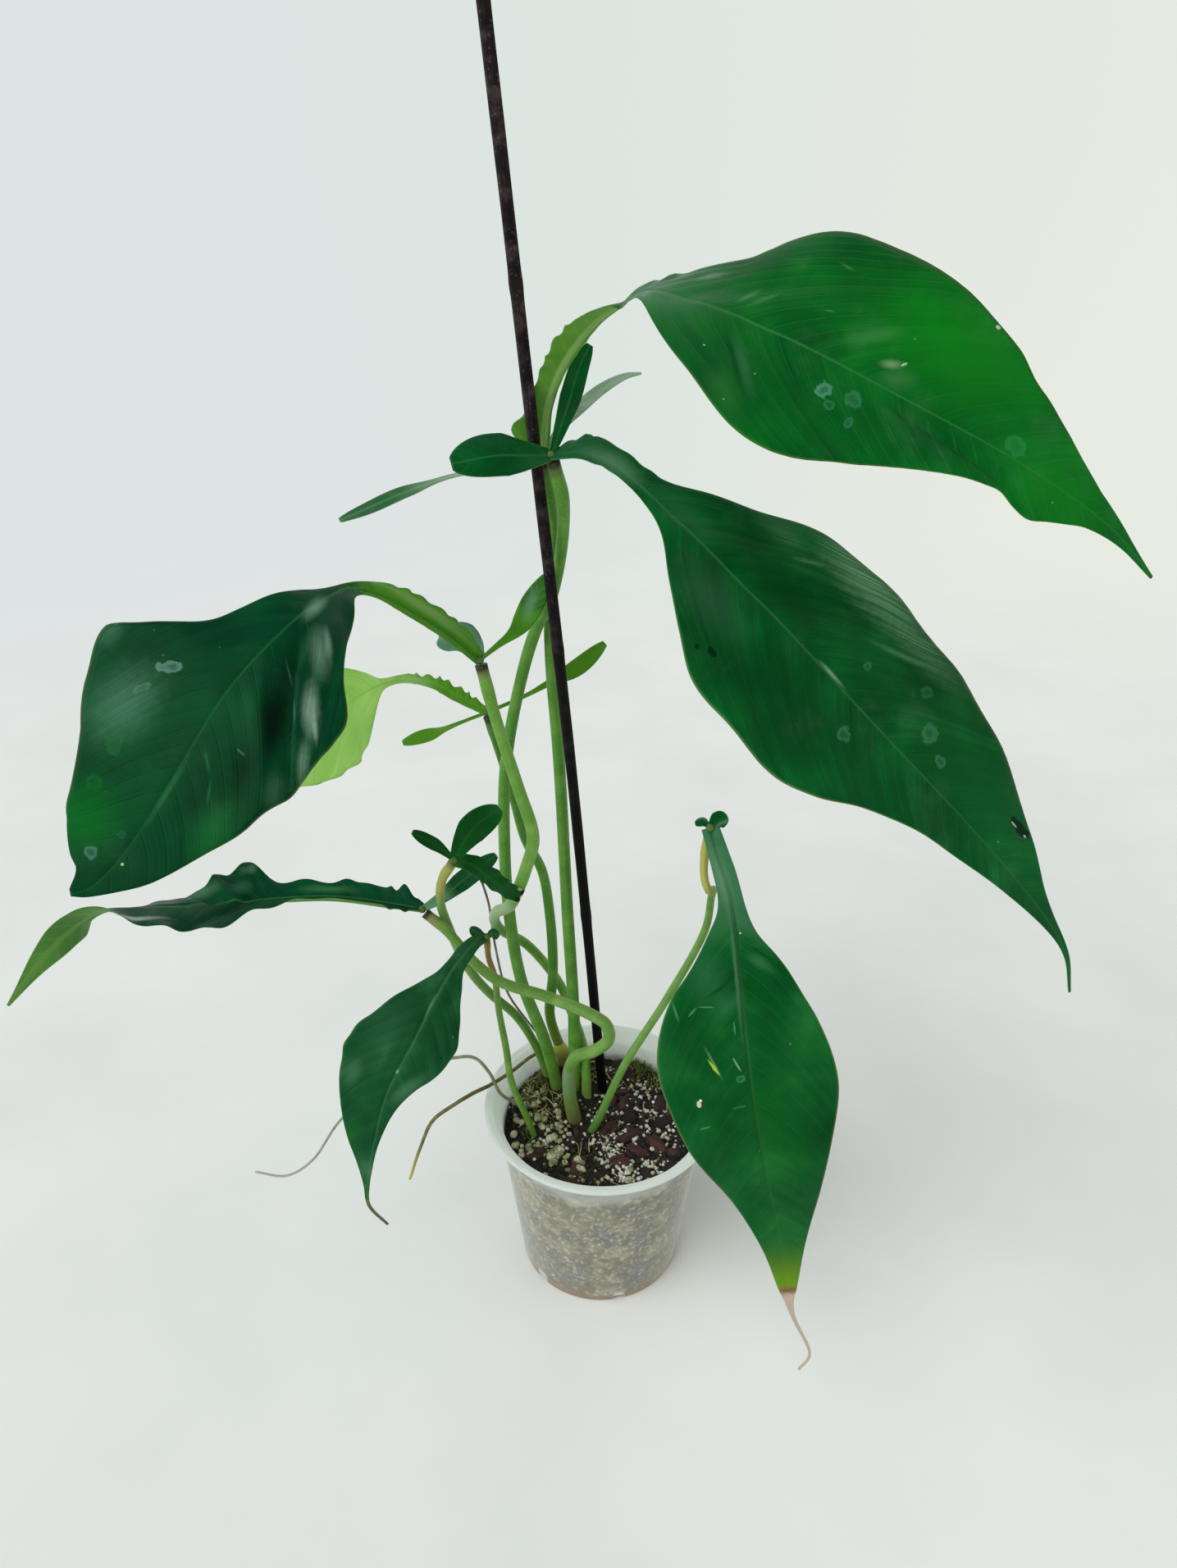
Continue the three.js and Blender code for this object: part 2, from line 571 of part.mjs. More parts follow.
/** Radius of the pot's inside at height z. */
function insideRadius(z) {
  const top = POT.height - POT.lipHeight - POT.collarHeight;
  return THREE.MathUtils.mapLinear(z, POT.floor, top, POT.footRadius, POT.neckRadius) - POT.wall;
}

/** Height of the mix's surface, a low mound round the crown. */
function mixHeight(x, y) {
  const away = Math.hypot(x - MIX.moundAt[0], y - MIX.moundAt[1]);
  const mound = MIX.mound * Math.exp(-((away / MIX.moundReach) ** 2));
  const [alongX, alongY] = MIX.bumpLength;
  return MIX.level + mound + MIX.bump * Math.sin(x / alongX + 1) * Math.cos(y / alongY);
}

/** The mix: a filled cup with an uneven top. */
function mixBody() {
  const { rings, sectors } = MIX;
  const bottomZ = POT.floor + FIT_GAP;
  const positions = [0, 0, mixHeight(0, 0)];
  const triangles = [];
  const edgeRadius = insideRadius(MIX.level) - FIT_GAP - MIX.edgeGap;
  for (let r = 1; r <= rings; r += 1) {
    for (let s = 0; s < sectors; s += 1) {
      const angle = (2 * Math.PI * s) / sectors;
      const x = (edgeRadius * r * Math.cos(angle)) / rings;
      const y = (edgeRadius * r * Math.sin(angle)) / rings;
      positions.push(x, y, r === rings ? MIX.level - MIX.edgeDrop : mixHeight(x, y));
    }
  }
  const bottomRadius = insideRadius(bottomZ) - FIT_GAP - POT.edgeRound;
  for (let s = 0; s < sectors; s += 1) {
    const angle = (2 * Math.PI * s) / sectors;
    positions.push(bottomRadius * Math.cos(angle), bottomRadius * Math.sin(angle), bottomZ);
  }
  positions.push(0, 0, bottomZ);
  const id = (r, s) => 1 + (r - 1) * sectors + (s % sectors);
  const last = 1 + (rings + 1) * sectors;
  for (let s = 0; s < sectors; s += 1) {
    triangles.push(0, id(1, s), id(1, s + 1));
    for (let r = 1; r <= rings; r += 1) {
      triangles.push(id(r, s), id(r + 1, s), id(r + 1, s + 1), id(r, s), id(r + 1, s + 1), id(r, s + 1));
    }
    triangles.push(last, id(rings + 1, s + 1), id(rings + 1, s));
  }
  return geometryFrom(positions, triangles);
}

/** The mix with perlite grains and bark chips sunk in its top and a plain hole for each stem. */
function pottingMix(stems) {
  const random = seeded(MIX.seed);
  let body = solid(mixBody());
  const lumps = [];
  const spot = (margin) => {
    const radius = Math.sqrt(random()) * (insideRadius(MIX.level) - margin);
    const angle = 2 * Math.PI * random();
    return [radius * Math.cos(angle), radius * Math.sin(angle)];
  };
  for (let k = 0; k < MIX.bark; k += 1) {
    const [x, y] = spot(MIX.barkMargin);
    const size = MIX.barkSize.map((side) => side * THREE.MathUtils.lerp(...MIX.barkSpread, random()));
    const turn = [random() - 0.5, random() - 0.5, Math.PI * random()];
    lumps.push(placed(new THREE.BoxGeometry(...size), [x, y, mixHeight(x, y) + MIX.barkLift], turn));
  }
  for (let k = 0; k < MIX.perlite; k += 1) {
    const [x, y] = spot(MIX.perliteMargin);
    const radius = THREE.MathUtils.lerp(...MIX.perliteRadius, random());
    const turn = [Math.PI * random(), Math.PI * random(), 0];
    const lift = MIX.perliteShare * radius;
    lumps.push(placed(new THREE.OctahedronGeometry(radius), [x, y, mixHeight(x, y) + lift], turn));
  }
  for (const lump of lumps) body = body.add(solid(lump));
  for (const stem of stems) body = body.subtract(solid(rod({ ...stem, sides: HOLE.sides }, HOLE_GAP)));
  const [whole] = body.decompose().sort((a, b) => b.volume() - a.volume());
  return geometryOf(whole);
}

/** The lower stretch of a stem, run on a little past its foot, as the form of its hole. */
function holeForm({ path, radii }) {
  const foot = new THREE.Vector3(...path.at(-1));
  const before = new THREE.Vector3(...path.at(-2));
  const past = foot.clone().add(foot.clone().sub(before).setLength(HOLE_GAP));
  const radius = radii.at(-1)[1];
  const lower = [...path.slice(-HOLE.points), past.toArray()];
  return { path: lower, radii: [[0, radius], [1, radius]], steps: HOLE.steps };
}

const plant = new THREE.Group();

/** Adds one named piece with its own finish. */
function addPiece(name, geometry, colour, roughness, options = {}) {
  const material = new THREE.MeshStandardMaterial({ color: colour, roughness, metalness: 0, ...options });
  const mesh = new THREE.Mesh(geometry, material);
  mesh.name = name;
  plant.add(mesh);
}

/** A stalk whose top sits just under the knob of its blade. */
function seated(name) {
  const knob = new THREE.Vector3(...BLADES[name].rib[0]);
  const [top, ...rest] = STALKS[name].path;
  const down = new THREE.Vector3(...top).sub(knob).setLength(KNOB_RADIUS + FIT_GAP);
  return { ...STALKS[name], path: [knob.add(down).toArray(), ...rest] };
}

const stake = { ...STAKE, radii: [[0, STAKE.radius], [1, STAKE.radius]] };
const rooted = Object.values(STALKS).filter((stalk) => stalk.path.at(-1)[2] < MIX.level);
const crownRadius = Math.max(...CROWN.radii.map(([, radius]) => radius));
const crownDown = { path: [...CROWN.path].reverse(), radii: [[1, crownRadius]] };
const rootRadius = ROOTS.root_back_left.radii[0][1];
const rootDown = { path: [...ROOTS.root_back_left.path].reverse(), radii: [[1, rootRadius]] };
const stems = [...rooted, stake, crownDown, rootDown].map(holeForm);

addPiece('pot', pot(), COLOUR.pot, ROUGHNESS.pot, { transparent: true, opacity: 0.55 });
addPiece('potting_mix', pottingMix(stems), COLOUR.mix, ROUGHNESS.mix);
addPiece('stake', rod(stake), COLOUR.stake, ROUGHNESS.stake);
addPiece('crown_stem', rod(CROWN), COLOUR.crown, ROUGHNESS.crown);
for (const name of Object.keys(STALKS)) {
  addPiece(`stalk_${name}`, rod(seated(name)), COLOUR.stalk, ROUGHNESS.stalk);
}
for (const [name, spec] of Object.entries(BLADES)) {
  addPiece(`leaf_${name}`, leaf(spec), COLOUR[spec.colour], ROUGHNESS.leaf);
}
for (const [name, root] of Object.entries(ROOTS)) {
  addPiece(name, rod({ ...root, sides: ROOT_SIDES }), COLOUR[root.colour], ROUGHNESS.root);
}

export default plant;
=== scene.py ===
"""A potted Philodendron joepii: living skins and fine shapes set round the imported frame.

Lengths in the tables are millimetres. Objects are in metres, +Z up, with the plant's front toward -Y.
"""

import logging
import math
from dataclasses import dataclass
from enum import Enum
from functools import partial
from typing import Callable, Optional, Sequence, Union

import bmesh
import bpy
import numpy as np
from mathutils import Euler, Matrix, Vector, noise

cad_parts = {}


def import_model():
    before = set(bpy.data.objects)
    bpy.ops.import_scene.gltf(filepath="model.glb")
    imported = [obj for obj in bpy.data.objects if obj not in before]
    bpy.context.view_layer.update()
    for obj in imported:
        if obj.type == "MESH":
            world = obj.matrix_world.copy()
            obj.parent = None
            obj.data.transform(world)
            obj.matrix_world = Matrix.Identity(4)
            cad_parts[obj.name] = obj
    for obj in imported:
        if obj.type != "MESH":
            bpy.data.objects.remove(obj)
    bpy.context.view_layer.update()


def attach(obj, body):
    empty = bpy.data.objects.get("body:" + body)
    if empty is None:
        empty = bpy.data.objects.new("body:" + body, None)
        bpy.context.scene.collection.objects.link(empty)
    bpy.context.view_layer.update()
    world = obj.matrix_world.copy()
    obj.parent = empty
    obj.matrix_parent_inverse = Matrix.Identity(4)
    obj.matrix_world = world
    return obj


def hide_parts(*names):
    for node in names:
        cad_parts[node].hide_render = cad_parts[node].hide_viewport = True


MM = 0.001
BODY = "root"
PLACE = "place"
EDGE = "edge"
SOFT = {"interpolation_type": "SMOOTHSTEP"}
TINT = {"data_type": "RGBA"}
TISSUE_IOR = 1.45
LOG = logging.getLogger("philodendron")

Table = Sequence[Sequence[float]]
Point = Sequence[float]
Source = Union[float, str, Sequence[float], bpy.types.Node, bpy.types.NodeSocket]
Adder = Callable[..., bpy.types.Node]
Array = np.ndarray
Pair = tuple[float, float]
Stops = Sequence[tuple[float, str]]


# Colour and shader nodes


def linear(hex_colour: str) -> tuple[float, ...]:
    """Turns an sRGB hex colour into linear red, green and blue, with an alpha of one."""
    shares = [int(hex_colour[i : i + 2], 16) / 255 for i in (1, 3, 5)]
    return (*[s / 12.92 if s <= 0.04045 else ((s + 0.055) / 1.055) ** 2.4 for s in shares], 1.0)


def add_node(
    tree: bpy.types.NodeTree,
    kind: str,
    inputs: Union[dict[Union[int, str], Source], Sequence[Source]] = (),
    stops: Stops = (),
    **settings: object,
) -> bpy.types.Node:
    """Adds one shader node with its settings, values and links.

    Args:
        tree: The material's or world's node tree.
        kind: The node's type name without its ShaderNode prefix.
        inputs: Values, hex colours, nodes or sockets, in the order of the inputs in use, or by name or place.
        stops: Positions and hex colours, for a colour ramp.
        **settings: The node's own properties.

    Returns:
        The new node.
    """
    node = tree.nodes.new("ShaderNode" + kind)
    for name, value in settings.items():
        setattr(node, name, value)
    for k, (position, hex_colour) in enumerate(stops):
        ramp = node.color_ramp.elements
        stop = ramp[k] if k < 2 else ramp.new(position)
        stop.position = position
        stop.color = linear(hex_colour)
    for key, value in inputs.items() if isinstance(inputs, dict) else enumerate(inputs):
        socket = [s for s in node.inputs if s.enabled][key] if isinstance(key, int) else node.inputs[key]
        if isinstance(value, str):
            value = linear(value)
        if isinstance(value, bpy.types.Node):
            value = next(s for s in value.outputs if s.enabled)
        if isinstance(value, bpy.types.NodeSocket):
            tree.links.new(value, socket)
        else:
            socket.default_value = value
    return node


def new_material(name: str) -> tuple[bpy.types.Material, Adder]:
    """Makes an empty node material.

    Args:
        name: The real material's name.

    Returns:
        The material, and the call that adds a node to it.
    """
    material = bpy.data.materials.new(name)
    material.use_nodes = True
    material.node_tree.nodes.clear()
    return material, partial(add_node, material.node_tree)


# Curves and meshes


def eased(table: Table, shares: Array, column: int) -> Array:
    """Reads a smooth curve through the rows [share, value, ...] of a table.

    Args:
        table: Rows in rising order of share.
        shares: Where to read.
        column: Which value of the rows to read.

    Returns:
        The value at each share.
    """
    rows = np.asarray(table, float)
    place, value = rows[:, 0], rows[:, column]
    last = len(rows) - 1
    order = np.arange(last + 1)
    before, after = np.maximum(order - 1, 0), np.minimum(order + 1, last)
    slope = (value[after] - value[before]) / (place[after] - place[before])
    i = np.clip(np.searchsorted(place, shares) - 1, 0, last - 1)
    span = place[i + 1] - place[i]
    t = np.clip((shares - place[i]) / span, 0, 1)
    start = (2 * t**3 - 3 * t**2 + 1) * value[i] + (t**3 - 2 * t**2 + t) * span * slope[i]
    return start + (3 * t**2 - 2 * t**3) * value[i + 1] + (t**3 - t**2) * span * slope[i + 1]


def unit(vectors: Array) -> Array:
    """Scales vectors, along the last axis, to a length of one."""
    return vectors / np.maximum(np.linalg.norm(vectors, axis=-1, keepdims=True), 1e-12)


class Spine:
    """A smooth space curve through knots, read by share of its length."""

    SPLITS = 60
    NEAR = 0.004

    def __init__(self, knots: Sequence[Point]) -> None:
        """Traces the curve finely through its knots.

        Args:
            knots: The points that it passes, in mm.
        """
        k = np.asarray(knots, float)
        ends = np.vstack([2 * k[0] - k[1], k, 2 * k[-1] - k[-2]])
        w = np.linspace(0, 1, self.SPLITS, endpoint=False)[:, None]
        traced = []
        for p0, p1, p2, p3 in zip(ends, ends[1:], ends[2:], ends[3:]):
            d0, d1, d2 = (math.sqrt(np.linalg.norm(b - a)) for a, b in ((p0, p1), (p1, p2), (p2, p3)))
            t1 = ((p1 - p0) / d0 - (p2 - p0) / (d0 + d1) + (p2 - p1) / d1) * d1
            t2 = ((p2 - p1) / d1 - (p3 - p1) / (d1 + d2) + (p3 - p2) / d2) * d1
            bend = -3 * p1 + 3 * p2 - 2 * t1 - t2
            traced.append(p1 + t1 * w + bend * w**2 + (2 * p1 - 2 * p2 + t1 + t2) * w**3)
        self.points = np.vstack([*traced, k[-1:]])
        steps = np.linalg.norm(np.diff(self.points, axis=0), axis=1)
        self.reach = np.concatenate([[0.0], np.cumsum(steps)])
        self.length = float(self.reach[-1])

    def at(self, shares: Array) -> Array:
        """Gives the points at the given shares of the length, in mm."""
        where = np.clip(shares, 0, 1) * self.length
        return np.stack([np.interp(where, self.reach, self.points[:, k]) for k in range(3)], -1)

    def ahead(self, shares: Array) -> Array:
        """Gives the unit directions of travel at the given shares."""
        return unit(self.at(shares + self.NEAR) - self.at(shares - self.NEAR))

    def sheet(self, shares: Array, across: Array, lift: Array, face: Array) -> Array:
        """Gives the points of a sheet that lies along the curve.

        Args:
            shares: Shares of the length, one a row of the sheet.
            across: Distance right of the curve at each point, in mm.
            lift: Distance up from it, in mm.
            face: The way that the sheet faces, once or once a row.

        Returns:
            The points, rows by columns.
        """
        ahead = self.ahead(shares)
        up = unit(face - ahead * np.sum(face * ahead, -1, keepdims=True))
        right = np.cross(ahead, up)
        return self.at(shares)[:, None] + right[:, None] * across[..., None] + up[:, None] * lift[..., None]


class Draft:
    """Gathers the points and faces of one piece, in mm, before it becomes a mesh."""

    def __init__(self) -> None:
        """Starts with nothing."""
        self.points: list[Array] = []
        self.place: list[Array] = []
        self.edge: list[Array] = []
        self.faces: list[list[int]] = []
        self.slots: list[int] = []
        self.count = 0

    def add(
        self,
        points: Array,
        faces: Sequence[Array],
        slots: Sequence[int] = (0, 0, 0),
        place: Sequence[float] = (0, 0, 0),
        edge: Sequence[float] = (0, 0, 0),
    ) -> None:
        """Adds points and groups of faces between them.

        Args:
            points: The points, in mm.
            faces: Groups of faces, each an array of point numbers a face.
            slots: The material slot of each group.
            place: The vector that the materials read, once or once a point.
            edge: A second such vector.
        """
        flat = np.reshape(points, (-1, 3))
        self.points.append(flat)
        for kept, given in ((self.place, place), (self.edge, edge)):
            kept.append(flat * 0.0 + np.reshape(given, (-1, 3)))
        for group, slot in zip(faces, slots):
            self.faces += (np.asarray(group) + self.count).tolist()
            self.slots += [slot] * len(group)
        self.count += len(flat)

    def piece(self, name: str, materials: Sequence[bpy.types.Material]) -> bpy.types.Object:
        """Makes the mesh object.

        Args:
            name: The object's name.
            materials: One material a slot.

        Returns:
            The new object, at the origin.
        """
        mesh = bpy.data.meshes.new(name)
        mesh.from_pydata((np.vstack(self.points) * MM).tolist(), [], self.faces)
        for material in materials:
            mesh.materials.append(material)
        mesh.polygons.foreach_set("material_index", self.slots)
        mesh.polygons.foreach_set("use_smooth", [True] * len(self.slots))
        for label, values in ((PLACE, self.place), (EDGE, self.edge)):
            layer = mesh.attributes.new(label, "FLOAT_VECTOR", "POINT")
            layer.data.foreach_set("vector", np.vstack(values).astype(np.float32).ravel())
        mesh.update()
        piece = bpy.data.objects.new(name, mesh)
        bpy.context.scene.collection.objects.link(piece)
        return piece


def grid_faces(rows: int, columns: int, wrap: bool = False) -> Array:
    """Numbers the four-sided faces of a grid of points.

    Args:
        rows: Steps along the grid.
        columns: Steps across it.
        wrap: Whether the last column joins the first.

    Returns:
        Faces with point numbers in the order across, then along.
    """
    width = columns if wrap else columns + 1
    i, j = np.meshgrid(np.arange(rows), np.arange(columns), indexing="ij")
    here, beside = i * width + j, i * width + (j + 1) % width
    return np.stack([here, beside, beside + width, here + width], -1).reshape(-1, 4)


def tube_faces(rings: int, sides: int) -> tuple[Array, ...]:
    """Numbers the faces of a closed tube: its rings of points, then one middle point for each end.

    Args:
        rings: How many rings it has.
        sides: Points a ring.

    Returns:
        The wall and the two ends.
    """
    first, last = np.arange(sides), np.arange(sides) + (rings - 1) * sides
    hub = np.full(sides, rings * sides)
    ends = np.stack([hub, np.roll(first, -1), first], -1), np.stack([hub + 1, last, np.roll(last, -1)], -1)
    return grid_faces(rings - 1, sides, wrap=True), *ends


def circle(count: int) -> Array:
    """Gives even angles once round, in radians."""
    return np.linspace(0, 2 * np.pi, count, endpoint=False)


def ball(splits: int) -> tuple[Array, Array]:
    """Gives a ball of radius one.

    Args:
        splits: How finely its faces are split.

    Returns:
        Its points and its triangles.
    """
    mesh = bmesh.new()
    bmesh.ops.create_icosphere(mesh, subdivisions=splits, radius=1)
    points = np.asarray([v.co[:] for v in mesh.verts])
    faces = np.asarray([[v.index for v in f.verts] for f in mesh.faces])
    mesh.free()
    return points, faces


def add_shell(
    draft: Draft,
    middle: Array,
    above: Array,
    below: Array,
    place: Array,
    edge: Array,
    slot: int = 0,
) -> None:
    """Adds a thin closed sheet with one material slot above and the next on its underside and rim.

    Args:
        draft: The piece to add to.
        middle: Points of the middle surface, rows by columns, in mm.
        above: How far the upper face stands off the middle at each point.
        below: How far the underside stands off it.
        place: Vectors for the materials, one a point.
        edge: Second vectors, one a point.
        slot: The material slot of its upper face.
    """
    normal = unit(np.cross(np.gradient(middle, axis=1), np.gradient(middle, axis=0)))
    points = np.stack([middle + normal * above[..., None], middle - normal * below[..., None]])
    top = grid_faces(middle.shape[0] - 1, middle.shape[1] - 1)
    number = np.arange(above.size).reshape(above.shape)
    loop = np.concatenate([number[0, :-1], number[:-1, -1], number[-1, :0:-1], number[:0:-1, 0]])
    onward, under = np.roll(loop, -1), number.size
    rim = np.stack([loop, loop + under, onward + under, onward], -1)
    faces = (top, top[:, ::-1] + under, rim)
    draft.add(points, faces, (slot, slot + 1, slot + 1), np.stack([place, place]), np.stack([edge, edge]))


def add_rod(draft: Draft, spine: Spine, radii: Array, sides: int) -> None:
    """Adds a closed round rod along a spine.

    Args:
        draft: The piece to add to.
        spine: The rod's middle line.
        radii: Radius of each point, ring by ring at even steps from its start, in mm.
        sides: Points round it.
    """
    shares = np.linspace(0, 1, len(radii))
    centres, ahead = spine.at(shares), spine.ahead(shares)
    side = unit(np.cross(ahead[0], (0.3, 0.8, 0.5)))
    sideways = []
    for direction in ahead:
        side = unit(side - direction * np.dot(side, direction))
        sideways.append(side)
    sideways = np.asarray(sideways)
    turned = np.cross(ahead, sideways)
    round_x, round_y = np.cos(circle(sides)), np.sin(circle(sides))
    out = sideways[:, None] * round_x[:, None] + turned[:, None] * round_y[:, None]
    ring = centres[:, None] + out * radii[..., None]
    share = np.repeat(shares, sides)
    flat_x, flat_y = (np.tile(float(np.mean(radii)) * turn, len(radii)) for turn in (round_x, round_y))
    place = np.stack([flat_x, flat_y, share * spine.length], -1)
    edge = np.stack([share, share * 0, share * 0], -1)
    draft.add(
        np.vstack([ring.reshape(-1, 3), centres[:1], centres[-1:]]),
        tube_faces(len(radii), sides),
        place=np.vstack([place, [[0, 0, 0], [0, 0, spine.length]]]),
        edge=np.vstack([edge, [[0, 0, 0], [1, 0, 0]]]),
    )


def settle(piece: bpy.types.Object, slot: str, *nodes: str) -> None:
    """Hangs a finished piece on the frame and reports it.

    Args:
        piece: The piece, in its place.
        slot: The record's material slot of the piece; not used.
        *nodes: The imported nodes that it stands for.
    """
    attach(piece, BODY)
    if nodes:
        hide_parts(*nodes)
    LOG.info("%s: %d faces", piece.name, len(piece.data.polygons))


# Leaves


class MarkKind(Enum):
    """What marks a leaf, with how far its edge frays and blurs in shares of its reach: painted sheen, patches
    of tone and of painted light and shade, dried drops, and scars along with painted glints.
    """

    GLOW = (0.3, 1.0)
    SHADE = (0.2, 1.0)
    DROP = (1.3, 0.25)
    SCAR = (1.0, 0.3)


GLOW, SHADE, DROP, SCAR = MarkKind


@dataclass(frozen=True)
class Mark:
    """One mark on the upper face, placed by mm along and across the midrib.

    It is drawn out by its stretch along a line that leaves the midrib's direction by its slant, in degrees.
    """

    kind: MarkKind
    along: float
    across: float
    reach: float
    colour: str
    strength: float = 1.0
    stretch: float = 1.0
    slant: float = 0.0

    def mask(self, add: Adder, flat: Source, ragged: Source, trace: Source) -> Source:
        """Builds the share by which the mark covers the leaf.

        Args:
            add: Adds a node to the material.
            flat: Across and along, in mm.
            ragged: Noise that frays the mark's edge.
            trace: Streaks along the veins.

        Returns:
            The share.
        """
        fray, blur = (share * self.reach for share in self.kind.value)
        centre = (self.across, self.along, 0)
        turn = {"Vector": flat, "Center": centre, "Angle": math.radians(self.slant)}
        turned = add("VectorRotate", turn) if self.slant else flat
        offset = add("VectorMath", (turned, centre), operation="SUBTRACT")
        offset = add("VectorMath", (offset, (1, 1 / self.stretch, 0)), operation="MULTIPLY")
        away = add("VectorMath", (offset,), operation="LENGTH").outputs["Value"]
        away = add("Math", (ragged, fray, away), operation="MULTIPLY_ADD")
        outer = self.reach + fray / 2
        share = add("MapRange", (away, outer - blur, outer, self.strength, 0.0), **SOFT)
        # Painted sheen is a pale tint laid in streaks along the veins, where gloss would catch the light
        if self.kind is GLOW:
            share = add("Math", (share, trace), operation="MULTIPLY")
        if self.kind is DROP:
            # The drop's salts gather at its rim
            rim = add("MapRange", (away, outer * 0.5, outer * 0.85, 0.35, 1.0), **SOFT)
            share = add("Math", (share, rim), operation="MULTIPLY")
        return share


@dataclass(frozen=True)
class LeafFinish:
    """Fresh aroid leaf: green tissue under a waxy cuticle, grown and never polished."""

    name: str
    deep: str
    body: str
    fresh: str
    vein: str
    neck: str
    neck_end: Pair
    seed: float
    under_deep: str = "#2f5f36"
    under_light: str = "#5f8f4f"
    keel: str = "#8fb06a"
    rim: str = "#8fa860"
    ripe: str = "#6f9a10"
    yellowed: str = "#8a7a2c"
    browned: str = "#7a5a34"
    dry: str = "#b9a98c"
    dry_from: float = 2.0
    salt: str = "#b5cf9c"
    dust: str = "#5f8a6a"
    roughness: float = 0.36
    specular: float = 0.26
    sheen: str = "#6fd088"
    backlight: float = 0.06
    backlight_tint: str = "#7fae3c"
    marks: Sequence[tuple] = ()

    # Sizes of the pattern, in mm
    patch: float = 38.0
    band: Pair = (5.5, 45.0)
    streak: Pair = (1.3, 22.0)
    grain: float = 0.7
    speck_gap: float = 17.0
    ragged: float = 2.4
    film: float = 26.0
    midrib_half: float = 0.42
    relief: float = 0.12
    under_relief: float = 0.2
    # Strengths
    band_show: float = 0.35
    streak_show: float = 0.1
    grain_show: float = 0.08
    vein_show: float = 0.12
    rim_show: float = 0.3
    speck_show: float = 0.4
    film_show: float = 0.12
    trace_low: float = 0.5
    midrib_show: Pair = (0.6, 0.3)

    def upper(self) -> bpy.types.Material:
        """Builds the finish of the upper face.

        Returns:
            The material.
        """
        material, add = new_material(f"{self.name}_upper")
        place, edge = (add("Attribute", attribute_name=label).outputs["Vector"] for label in (PLACE, EDGE))
        across, along, vein = add("SeparateXYZ", (place,)).outputs
        rim_share, share, reach = add("SeparateXYZ", (edge,)).outputs
        flat = add("CombineXYZ", (across, along, self.seed))

        # Cells swell unevenly between the veins, so the green drifts over a few centimetres
        patch = add("TexNoise", {"Vector": flat, "Scale": 1 / self.patch, "Detail": 3.0})
        # Tissue grows in bands along the side veins, which gives broad and fine streaks
        lanes = []
        for wide, run in (self.band, self.streak):
            lane = add("Math", (vein, VEIN_SPACING / wide), operation="MULTIPLY")
            lane = add("CombineXYZ", (lane, add("Math", (reach, 1 / run), operation="MULTIPLY"), wide))
            lanes.append(add("TexNoise", {"Vector": lane, "Scale": 1.0, "Detail": 3.0, "Roughness": 0.55}))
        band, streak = lanes
        grain = add("TexNoise", {"Vector": flat, "Scale": 1 / self.grain, "Detail": 2.0})
        blend = patch
        for show, over in ((self.band_show, band), (self.streak_show, streak), (self.grain_show, grain)):
            blend = add("Mix", (show, blend, over))
        stops = ((0.34, self.deep), (0.5, self.body), (0.66, self.fresh))
        colour = add("ValToRGB", {"Fac": blend}, stops=stops)

        # Veins hold less green than the tissue between them
        first = add("Math", (vein, 0.5), operation="PINGPONG")
        first = add("MapRange", (first, 0.0, 0.07, 1.0, 0.0), **SOFT)
        fine = add("Math", (vein, 4.0), operation="MULTIPLY")
        fine = add("Math", (fine, 0.5), operation="PINGPONG")
        fine = add("MapRange", (fine, 0.0, 0.2, 0.3, 0.0), **SOFT)
        side = add("Math", (first, fine), operation="MAXIMUM")
        side = add("Math", (side, self.vein_show), operation="MULTIPLY")
        thin = add("MapRange", (share, 0.3, 1.0, self.midrib_half * 1.4, self.midrib_half * 0.5))
        middle = add("Math", (across,), operation="ABSOLUTE")
        middle = add("Math", (middle, thin), operation="DIVIDE")
        fade = add("MapRange", (share, 0.3, 0.8, *self.midrib_show))
        middle = add("MapRange", (middle, 0.6, 1.4, fade, 0.0), **SOFT)

        # The neck is young stalk tissue, greener and paler than the blade
        wander = add("Math", (band, 0.12, share), operation="MULTIPLY_ADD")
        start, end = (mark + 0.06 for mark in self.neck_end)
        neck = add("MapRange", (wander, start, end, 1.0, 0.0), **SOFT)
        necked = add("ValToRGB", {"Fac": blend}, stops=((0.3, self.body), (0.47, self.neck)))
        rim = add("MapRange", (rim_share, 0.972, 0.995, 0.0, self.rim_show), **SOFT)
        # Tiny pale pores and salt specks lie here and there
        speck = add("TexVoronoi", {"Vector": flat, "Scale": 1 / self.speck_gap})
        speck = add("MapRange", (speck, 0.012, 0.03, self.speck_show, 0.0))
        coats = [(side, self.vein), (middle, self.vein), (neck, necked), (rim, self.rim), (speck, self.salt)]
        if self.dry_from < 1:
            # Dead tissue at the tip: a yellow zone, a brown edge, then dry beige
            dry = add("Math", (grain, 0.012, share), operation="MULTIPLY_ADD")
            ripe = add("MapRange", {0: dry, 1: self.dry_from - 0.12, 2: self.dry_from, 4: 0.85}, **SOFT)
            dry = add("MapRange", (dry, self.dry_from - 0.01, self.dry_from + 0.03))
            dead = ((0.0, self.yellowed), (0.3, self.browned), (0.6, self.dry), (1.0, self.dry))
            dead = add("ValToRGB", {"Fac": dry}, stops=dead)
            coats += [(ripe, self.ripe), (add("MapRange", (dry, 0.0, 0.15)), dead)]
